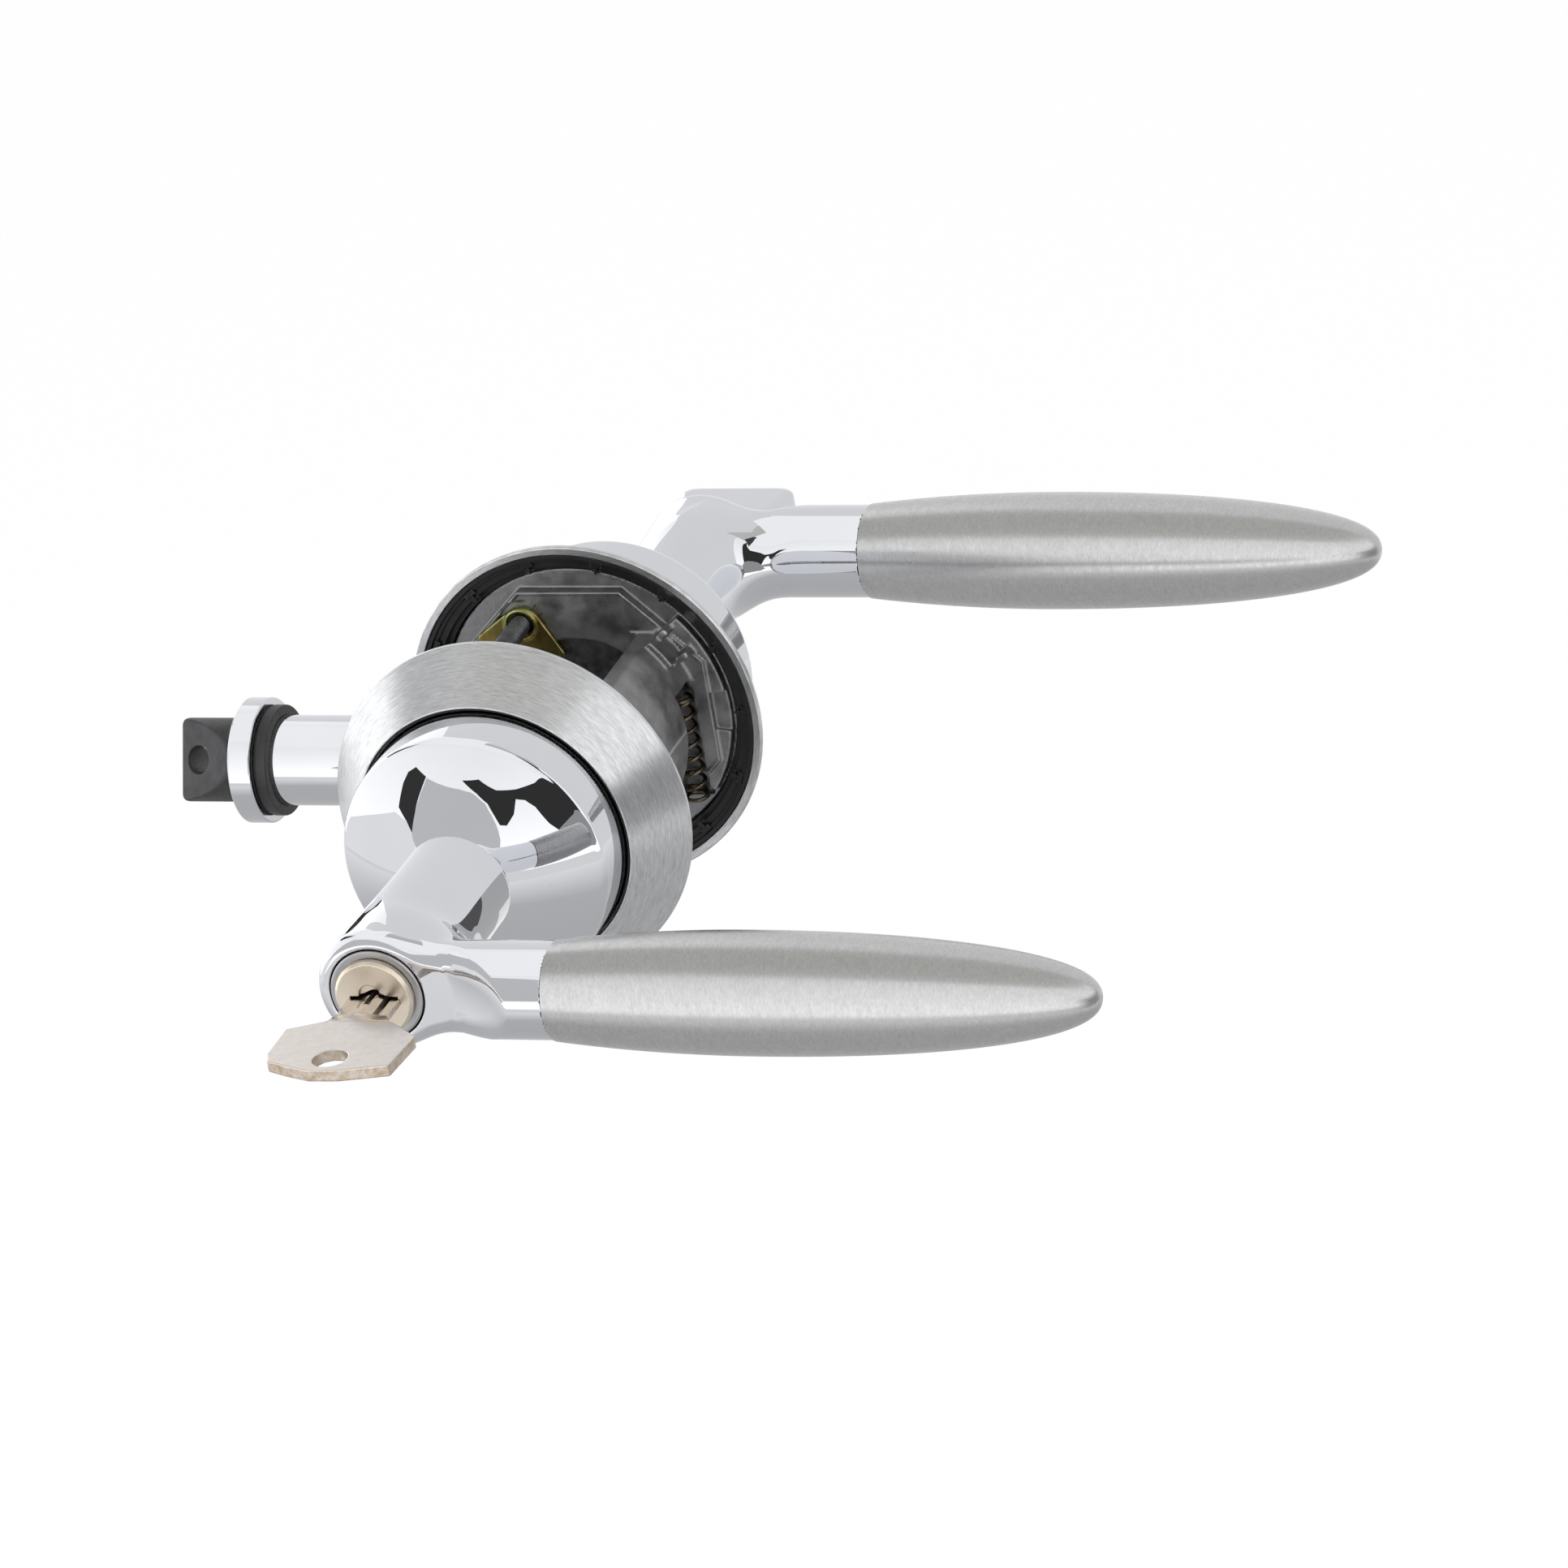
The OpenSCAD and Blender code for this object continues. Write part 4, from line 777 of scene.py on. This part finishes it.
bow = [(-4.115, 100.1), (-10.346, 103.2), (-10.439, 111.2), (-9.509, 113.4), (-6.254, 114.8), (-1.418, 116.4),
       (3.697, 116.2), (11.788, 114.2), (12.625, 104.7), (11.23, 103.4), (7.138, 100.1)]
hole_x, hole_out, hole_r = 1.05, 112.7, 3.05
key_half, blade_left, blade_right, blade_end, key_tip = 1.12, -4.08, 4.5, 97, 67.9
key_neck = [(-4.6, 89.9), (-4.6, 98.9), (-6.5, 101.5), (-6.5, 105), (8.5, 105), (8.5, 101.5), (6.6, 98.9),
            (4.9, 96), (4.9, 89.9)]
grooves = ((2.75, 0.55, 95.5, -0.7), (0.2, 0.44, 93.3, 0.1))       # middle, half width, far end, floor


def polygon(x, y, points, r):
    """Distance to a polygon's outline, below 0 inside; its corners are rounded by r."""
    pts = np.array(points, float)
    best = np.full(np.shape(x), 1e9)
    inside = np.full(np.shape(x), False)
    for (ax, ay), (bx, by) in zip(pts, np.roll(pts, -1, axis=0)):
        ex, ey = bx - ax, by - ay
        t = np.clip(((x - ax) * ex + (y - ay) * ey) / (ex * ex + ey * ey), 0, 1)
        best = np.minimum(best, np.hypot(x - ax - t * ex, y - ay - t * ey))
        cross = (ay > y) != (by > y)
        with np.errstate(divide="ignore", invalid="ignore"):
            where = ex * (y - ay) / ey + ax
        inside ^= cross & (x < where)
    return np.where(inside, -best, best) - r


def key_body(x, up, out):
    """A bow with a ring hole, a neck that takes up the blade's wave, and a grooved blade with a blunt tip."""
    bow_part = meet(polygon(x, out, bow, 0.7), abs(up) - key_half, 0.28)
    neck_part = meet(polygon(x, out, key_neck, 0.0), abs(up) - key_half + 0.1, 0.2)
    neck_part = meet(neck_part, up - ridge(x) - 0.25 * np.maximum(out - 95.5, 0), 0.1)
    blade = block(x, up, out, (blade_left, -key_half, key_tip), (blade_right, key_half, blade_end), 0.25)
    blade = meet(meet(blade, up - ridge(x), 0.15), (abs(x) + (69.8 - out) - 3.6) * 0.7, 0.2)
    solid = join(join(bow_part, neck_part, 0.1), blade, 0.2)
    solid = carve(solid, np.hypot(x - hole_x, out - hole_out) - hole_r, 0.2)
    for middle, wide, high, floor_at in grooves:
        cut = np.maximum(np.maximum(abs(x - middle) - wide, slab(out, 60, high)), floor_at - up)
        solid = carve(solid, cut, 0.1)
    return solid


key_metal, key_tree, key_shader = finish("nickel_silver_worn", (0.62, 0.58, 0.55), 1.0, 0.22)
side_of = node(key_tree, "SeparateXYZ", in0=node(key_tree, "NewGeometry").outputs["True Normal"]).outputs[2]
edge_face = spread(key_tree, math_node(key_tree, "ABSOLUTE", side_of), 0.25, 0.6, 1.0, 0.0)
key_skin = use(key_tree, skin, Grain=900.0, Patches=700.0)
stain = times(key_tree, edge_face, key_skin["Patch"])
tone = mixed(key_tree, key_skin["Patch"], (0.60, 0.555, 0.525, 1), (0.65, 0.61, 0.58, 1))
tone = mixed(key_tree, stain, tone, (0.42, 0.31, 0.19, 1))
give(key_tree, key_shader, Base_Color=tone, Roughness=spread(key_tree, edge_face, 0, 1, 0.2, 0.42))
relief(key_tree, key_shader, times(key_tree, key_skin["Height"], edge_face), 0.12)
key = cast("key_blank", key_body, (-12.4, -1.8, 67.0), (14.6, 1.8, 118.2), 0.22)
fit(key, key_metal, "key", "nickel_silver", "key")


paddle_low, paddle_end, paddle_root, paddle_grow, paddle_half = 88.8, 105.75, 7.9, 3.4, 3.75
disc_r, disc_low, disc_high = 8.0, 88.35, 90.6


def paddle_body(x, up, out):
    """The plug's barrel and tail under a round disc, from which a flat paddle widens outwards."""
    q = np.hypot(x, up)
    solid, tail = plug_core(q, out)
    solid = join(join(solid, meet(q - disc_r, slab(out, disc_low, disc_high), 0.8), 0.3), tail, 0.1)
    wide = paddle_root + paddle_grow * np.clip((out - 89.0) / 15.5, 0, 1)
    paddle = meet(meet(abs(x) - wide, slab(out, paddle_low, paddle_end), 3.2), abs(up) - paddle_half, 1.6)
    solid = join(solid, paddle, 0.6)
    solid = carve(solid, np.maximum(slab(out, clip_low, clip_high), clip_r - q), 0.05)
    return carve(solid, np.maximum(np.maximum(abs(x) - 2.2, abs(up) - 0.7), out - 66.5), 0.1)


paddle = cast("thumb_turn_paddle", paddle_body, (-12.0, -8.4, 61.5), (12.0, 8.4, 106.4), 0.36, (1, 1))
fit(paddle, chrome, "thumb_turn", "polished_chrome", "thumb_turn")

# ---------------------------------------------------------------- latch
# A drive-in latch: a bright tube with a turned collar at the door edge and a rubber ring behind it, and a
# graphite black sintered bolt with a slanted face, sprung outwards and drawn in by a pressed retractor.

collar_r, collar_bore, collar_out, collar_in = 11.25, 7.62, 57.72, 53.35
to_latch = Matrix.Rotation(-math.pi / 2, 4, "Y")
collar_outline = [(collar_bore, collar_in, 0.2), (collar_bore, collar_out, 0.25), (collar_r, collar_out, 0.35),
                  (collar_r, collar_in, 0.35)]
collar = lathe("latch_collar_turned", collar_outline, to_latch, steps=180)
fit(collar, chrome, "root", "polished_chrome", "latch_collar")

rubber = mottled(finish("black_rubber", (0.03, 0.03, 0.032), 0.0, 0.55), 1300.0, 260.0,
                 (0.009, 0.009, 0.010), (0.020, 0.020, 0.021), 0.02)
rubber_outline = [(8.12, 50.87, 0.15), (8.12, 53.3, 0.1), (9.6, 53.3, 0.1), (9.6, 52.9, 0.1), (9.93, 52.8, 0.1),
                  (9.93, 50.87, 0.25)]
rubber_ring = lathe("latch_rubber_ring", rubber_outline, to_latch, steps=160)
fit(rubber_ring, rubber, "root", "black_rubber", "latch_grip_ring")
coat(chrome, "latch_tube")
coat(steel, "tube_cap", "bolt_rod", "retractor")

bolt_r, bolt_back, bolt_tip, bolt_turn = 7.52, 50.0, 70.8, math.radians(26)
slant_from, slant_slope, cross_hole_x, cross_hole_r = 1.2, 0.531, 66.6, 2.5
rod_bore_r, rod_bore_end = 2.5, 54.0


def bolt_body(x, up, out):
    """The bolt points to -x; its slanted face looks outwards, turned a little about the bolt's axis."""
    c, s = math.cos(bolt_turn), math.sin(bolt_turn)
    up, out = up * c - out * s, out * c + up * s
    solid = meet_round(np.hypot(up, out) - bolt_r, slab(-x, bolt_back, bolt_tip), 1.3)
    solid = meet(solid, (out - slant_from - slant_slope * (x + bolt_tip)) / 1.13, 0.3)
    solid = carve(solid, np.hypot(-x - cross_hole_x, up) - cross_hole_r, 0.25)
    return carve(solid, np.maximum(np.hypot(up, out) - rod_bore_r, -x - rod_bore_end), 0.2)


graphite = mottled(finish("graphite_bolt", (0.045, 0.045, 0.05), 0.35, 0.5), 1300.0, 420.0,
                   (0.018, 0.018, 0.020), (0.038, 0.038, 0.041), 0.05, (0.54, 0.16, 0.16, 0.165))
bolt = cast("latch_bolt_sintered", bolt_body, (-71.6, -8.2, -8.2), (-49.4, 8.2, 8.2), 0.3)
fit(bolt, graphite, "latch_bolt", "graphite_bolt", "latch_bolt")

place = Matrix.Translation((-49.95 * mm, 0, 0)) @ Matrix.Rotation(math.pi / 2, 4, "Y")
bolt_wire = wound_wire("bolt_wire", 5.5, 0.5, 19.8, 7, place)
fit(bolt_wire, steel, "root", "bright_steel", "bolt_spring")
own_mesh(bolt_wire)

# ---------------------------------------------------------------- floor, cards, light and camera
# A pale floor and white surroundings, with black, grey and white cards that only the metal sees, and two
# large soft lamps. The camera looks down on the outside lever from beyond its dome.


def seen_share(tree):
    """1 for what the camera sees, straight or through glossy and clear surfaces."""
    path = node(tree, "LightPath").outputs
    share = path["Is Camera Ray"]
    for kind in ("Is Glossy Ray", "Is Transmission Ray"):
        share = math_node(tree, "MAXIMUM", share, path[kind])
    return share


world = bpy.data.worlds.new("white_room")
world.use_nodes = True
world_tree = world.node_tree
background = world_tree.nodes["Background"]
lit = mixed(world_tree, seen_share(world_tree), (0.72, 0.72, 0.72, 1), (1, 1, 1, 1))
give(world_tree, background, Color=lit)
bpy.context.scene.world = world

floor_z, floor_half, floor_share = -0.42, 9000, 0.95
corners = [(x * floor_half, y * floor_half, 0) for x, y in ((-1, -1), (1, -1), (1, 1), (-1, 1))]
floor = mesh_object("floor", np.array(corners, float), np.array([[0, 1, 2, 3]]))
floor.location.z = floor_z
floor_white = bpy.data.materials.new("floor_white")
floor_white.use_nodes = True
tree = floor_white.node_tree
tree.nodes.remove(tree.nodes["Principled BSDF"])
paint = node(tree, "BsdfDiffuse", in0=(0.95, 0.95, 0.95, 1)).outputs[0]
glow = node(tree, "Emission", in0=(1, 1, 1, 1), in1=1.0).outputs[0]
white_share = times(tree, seen_share(tree), floor_share)
shown = node(tree, "MixShader", in0=white_share, in1=paint, in2=glow).outputs[0]
under = node(tree, "BsdfTransparent").outputs[0]
from_below = node(tree, "NewGeometry").outputs["Backfacing"]
both = node(tree, "MixShader", in0=from_below, in1=shown, in2=under).outputs[0]
give(tree, tree.nodes["Material Output"], Surface=both)
floor.data.materials.append(floor_white)


def glow_card(name, obj, low, high, tint, seen_by, one_sided=False):
    """Gives a card its light, from low at its foot to high at its top. Only reflections see it: those of
    every metal, of the polished ones (first or second bounce), or of the satin ones."""
    made = bpy.data.materials.new(name)
    made.use_nodes = True
    tree = made.node_tree
    tree.nodes.remove(tree.nodes["Principled BSDF"])
    rise = node(tree, "SeparateXYZ", in0=node(tree, "TexCoord").outputs["Generated"]).outputs[2]
    shown = node(tree, "Emission", in0=(*tint, 1), in1=spread(tree, rise, 0, 1, low, high)).outputs[0]
    if seen_by != "all":
        path = node(tree, "LightPath").outputs
        if seen_by == "satin":
            seen = math_node(tree, "SUBTRACT", 1.0, path["Is Singular Ray"])
        else:
            bounce = {"first": 1, "second": 2}[seen_by]
            off = math_node(tree, "ABSOLUTE", math_node(tree, "SUBTRACT", path["Ray Depth"], bounce))
            seen = times(tree, math_node(tree, "LESS_THAN", off, 0.5), path["Is Singular Ray"])
        if one_sided:
            facing = math_node(tree, "SUBTRACT", 1.0, node(tree, "NewGeometry").outputs["Backfacing"])
            seen = times(tree, seen, facing)
        clear = node(tree, "BsdfTransparent").outputs[0]
        shown = node(tree, "MixShader", in0=seen, in1=clear, in2=shown).outputs[0]
    give(tree, tree.nodes["Material Output"], Surface=shown)
    obj.data.materials.append(made)
    for kind in ("camera", "diffuse", "shadow"):
        setattr(obj, "visible_" + kind, False)


def toward(azimuth, elevation, distance):
    """A point that lies in a direction: azimuth 0 is in front of the outside lever, 90 is past the grips."""
    a, e = np.radians(azimuth), np.radians(elevation)
    return distance / mm * np.stack([np.cos(e) * np.sin(a), -np.cos(e) * np.cos(a), np.sin(e)], -1)


white, warm = (1, 1, 1), (1.0, 1.0, 0.95)
dome_spot = np.array((0, -45, 12))


def band(name, a0, a1, e0, e1, distance, low, high, tint=white, seen_by="all"):
    """A curved wall of light between two azimuths and two elevations."""
    a, e = (np.linspace(v0, v1, max(2, round(abs(v1 - v0) / 5) + 1)) for v0, v1 in ((a0, a1), (e0, e1)))
    ee, aa = np.meshgrid(e, a, indexing="ij")
    row, col = np.meshgrid(np.arange(len(e) - 1), np.arange(len(a) - 1), indexing="ij")
    corner = row * len(a) + col
    faces = np.stack([corner, corner + 1, corner + len(a) + 1, corner + len(a)], -1).reshape(-1, 4)
    glow_card(name, mesh_object(name, toward(aa, ee, distance).reshape(-1, 3), faces), low, high, tint, seen_by)


def cut_card(name, corners, turn_into, face_front=False):
    """A flat outline filled with small faces, whose points turn_into then stands in space."""
    work = bmesh.new()
    work.faces.new([work.verts.new((u, v, 0)) for u, v in corners])
    bmesh.ops.triangulate(work, faces=work.faces)
    bmesh.ops.subdivide_edges(work, edges=work.edges, cuts=3, use_grid_fill=True)
    bmesh.ops.triangulate(work, faces=work.faces)
    for vert in work.verts:
        vert.co = Vector(turn_into(vert.co.x, vert.co.y)) * mm
    work.normal_update()
    for face in work.faces:
        if face_front and face.normal.y > 0:
            face.normal_flip()
    obj = bpy.data.objects.new(name, bpy.data.meshes.new(name))
    work.to_mesh(obj.data)
    work.free()
    bpy.context.scene.collection.objects.link(obj)
    return obj


def flag(name, distance, level, corners):
    """A cut card, given by its corners' azimuths and elevations as seen from a spot before the dome."""
    card = cut_card(name, corners, lambda azimuth, elevation: toward(azimuth, elevation, distance) + dome_spot)
    glow_card(name, card, level, level, white, "first")


def screen(name, out, level, corners):
    """A card across the outside lever's axis, which only its own neck and arm see."""
    card = cut_card(name, corners, lambda x, z: (x, -out, z), True)
    glow_card(name, card, level, level, white, "first", True)


band("card_wall", -150, 110, -26, 51, 1.6, 1.85, 1.3)
band("card_ceiling_front", -140, 130, 51, 89, 1.55, 0.74, 0.70, warm)
band("card_ceiling_back", 130, 220, 66, 89, 1.55, 0.74, 0.70, warm)
band("card_ground_edge", -180, 180, -35, -19, 0.38, 0.66, 1.10)
band("card_ground", -180, 180, -89, -35, 0.38, 0.62, 0.66)
band("card_satin_right", 50, 120, -40, 8, 0.9, 0.46, 0.36, seen_by="satin")
band("card_satin_bright", -146, -84, -26, 19, 0.95, 1.95, 2.05, seen_by="satin")
band("card_satin_left", -130, -55, 24, 53, 0.9, 0.72, 0.72, seen_by="satin")
band("card_ceiling_bright", -180, 95, 51, 89, 1.5, 1.36, 1.36, seen_by="first")
band("card_soft", -180, 180, -89, 89, 0.36, 1.45, 1.62, seen_by="second")
flag("card_black_strip", 1.4, 0.05, [(-58, 12), (-57.5, 22), (-56, 27), (-52, 31), (-43.5, 31), (-46, 20),
                                     (-47.3, 8), (-47.5, 4), (-52, 8.5)])
flag("card_black", 1.4, 0.045, [(-17, 36), (-5, 37), (8, 31.5), (20, 29.5), (30, 29), (42, 34), (55, 35.5), (70, 36),
                                (80, 42), (90, 50), (92, 40), (92, 12), (80, 14), (65, 13), (52, 10), (46, 5),
                                (40, 1.5), (36, 7), (30, 18), (25, 23), (20, 25), (19, 18), (15, 13), (11, 14),
                                (8, 19), (3, 26), (-5, 31), (-12, 34)])
flag("card_arch", 0.115, 0.76, [(-49.5, 2), (-49, 8), (-47.6, 20), (-45, 33), (-30, 34), (-17, 34.5), (-7, 33.5),
                                (-3, 32), (5, 27), (10, 19.5), (12.5, 14.5), (14, 10), (15, 4), (14, -4), (-47, -4)])
flag("card_grey", 1.2, 0.42, [(32, -10), (38, 0), (41, 3), (45, 6), (52, 10), (65, 13), (80, 14), (92, 12), (106, 0),
                              (100, -9), (80, -11), (60, -12), (45, -13)])
flag("card_left_low", 1.3, 1.15, [(-112, -36), (-105, -17), (-90, -9), (-75, 0), (-60, 9), (-52, 8.5), (-47.5, 4),
                                  (-45, -10), (-70, -28)])
flag("card_rim_left", 1.3, 0.06, [(-124, 15), (-112, 22), (-104, 40), (-109, 46), (-117, 34), (-126, 20)])
flag("card_rim_right", 1.3, 0.08, [(78, 44), (92, 50), (104, 52), (104, 66), (92, 70), (80, 56)])
circle = [(max(48 * math.cos(a), -17), 48 * math.sin(a)) for a in np.linspace(0, 2 * math.pi, 48, endpoint=False)]
screen("card_neck", 48.45, 1.0, circle)
screen("card_elbow", 48.8, 0.55, [(8, 3.4), (19.8, 3.4), (19.4, -3), (17, -7.5), (13, -11), (8.5, -12.5), (8, -9),
                                  (11, -5), (9.5, -1)])
screen("card_elbow_dark", 49.0, 0.12, [(15.5, 3.4), (20, 3.4), (19.6, -3), (17.6, -5), (16.6, -1)])

for name, spot, size, power in (("lamp_key", (-0.6, -1.0, 1.5), 1.2, 22), ("lamp_fill", (1.3, -0.6, 1.0), 1.0, 10)):
    lamp = bpy.data.lights.new(name, "AREA")
    lamp.size = size
    lamp.energy = power
    holder = bpy.data.objects.new(name, lamp)
    holder.location = spot
    holder.rotation_euler = (-Vector(spot)).to_track_quat("-Z", "Y").to_euler()
    holder.visible_glossy = False
    bpy.context.scene.collection.objects.link(holder)

# Where the camera stands, and its own right, up and forward directions
camera_spot = (0.69645, -1.53562, 0.77969)
right, above, ahead = (0.9351, 0.3182, -0.1558), (-0.0055, 0.4528, 0.8916), (-0.3542, 0.8329, -0.4252)
camera = bpy.data.objects.new("camera", bpy.data.cameras.new("camera"))
camera.data.lens = 240.98
camera.data.sensor_width = 36
camera.data.clip_start = 0.05
camera.data.clip_end = 60
rows = [[right[i], above[i], -ahead[i], camera_spot[i]] for i in range(3)]
camera.matrix_world = Matrix(rows + [[0, 0, 0, 1]])
bpy.context.scene.collection.objects.link(camera)
bpy.context.scene.camera = camera
bpy.context.scene.view_settings.view_transform = "Standard"
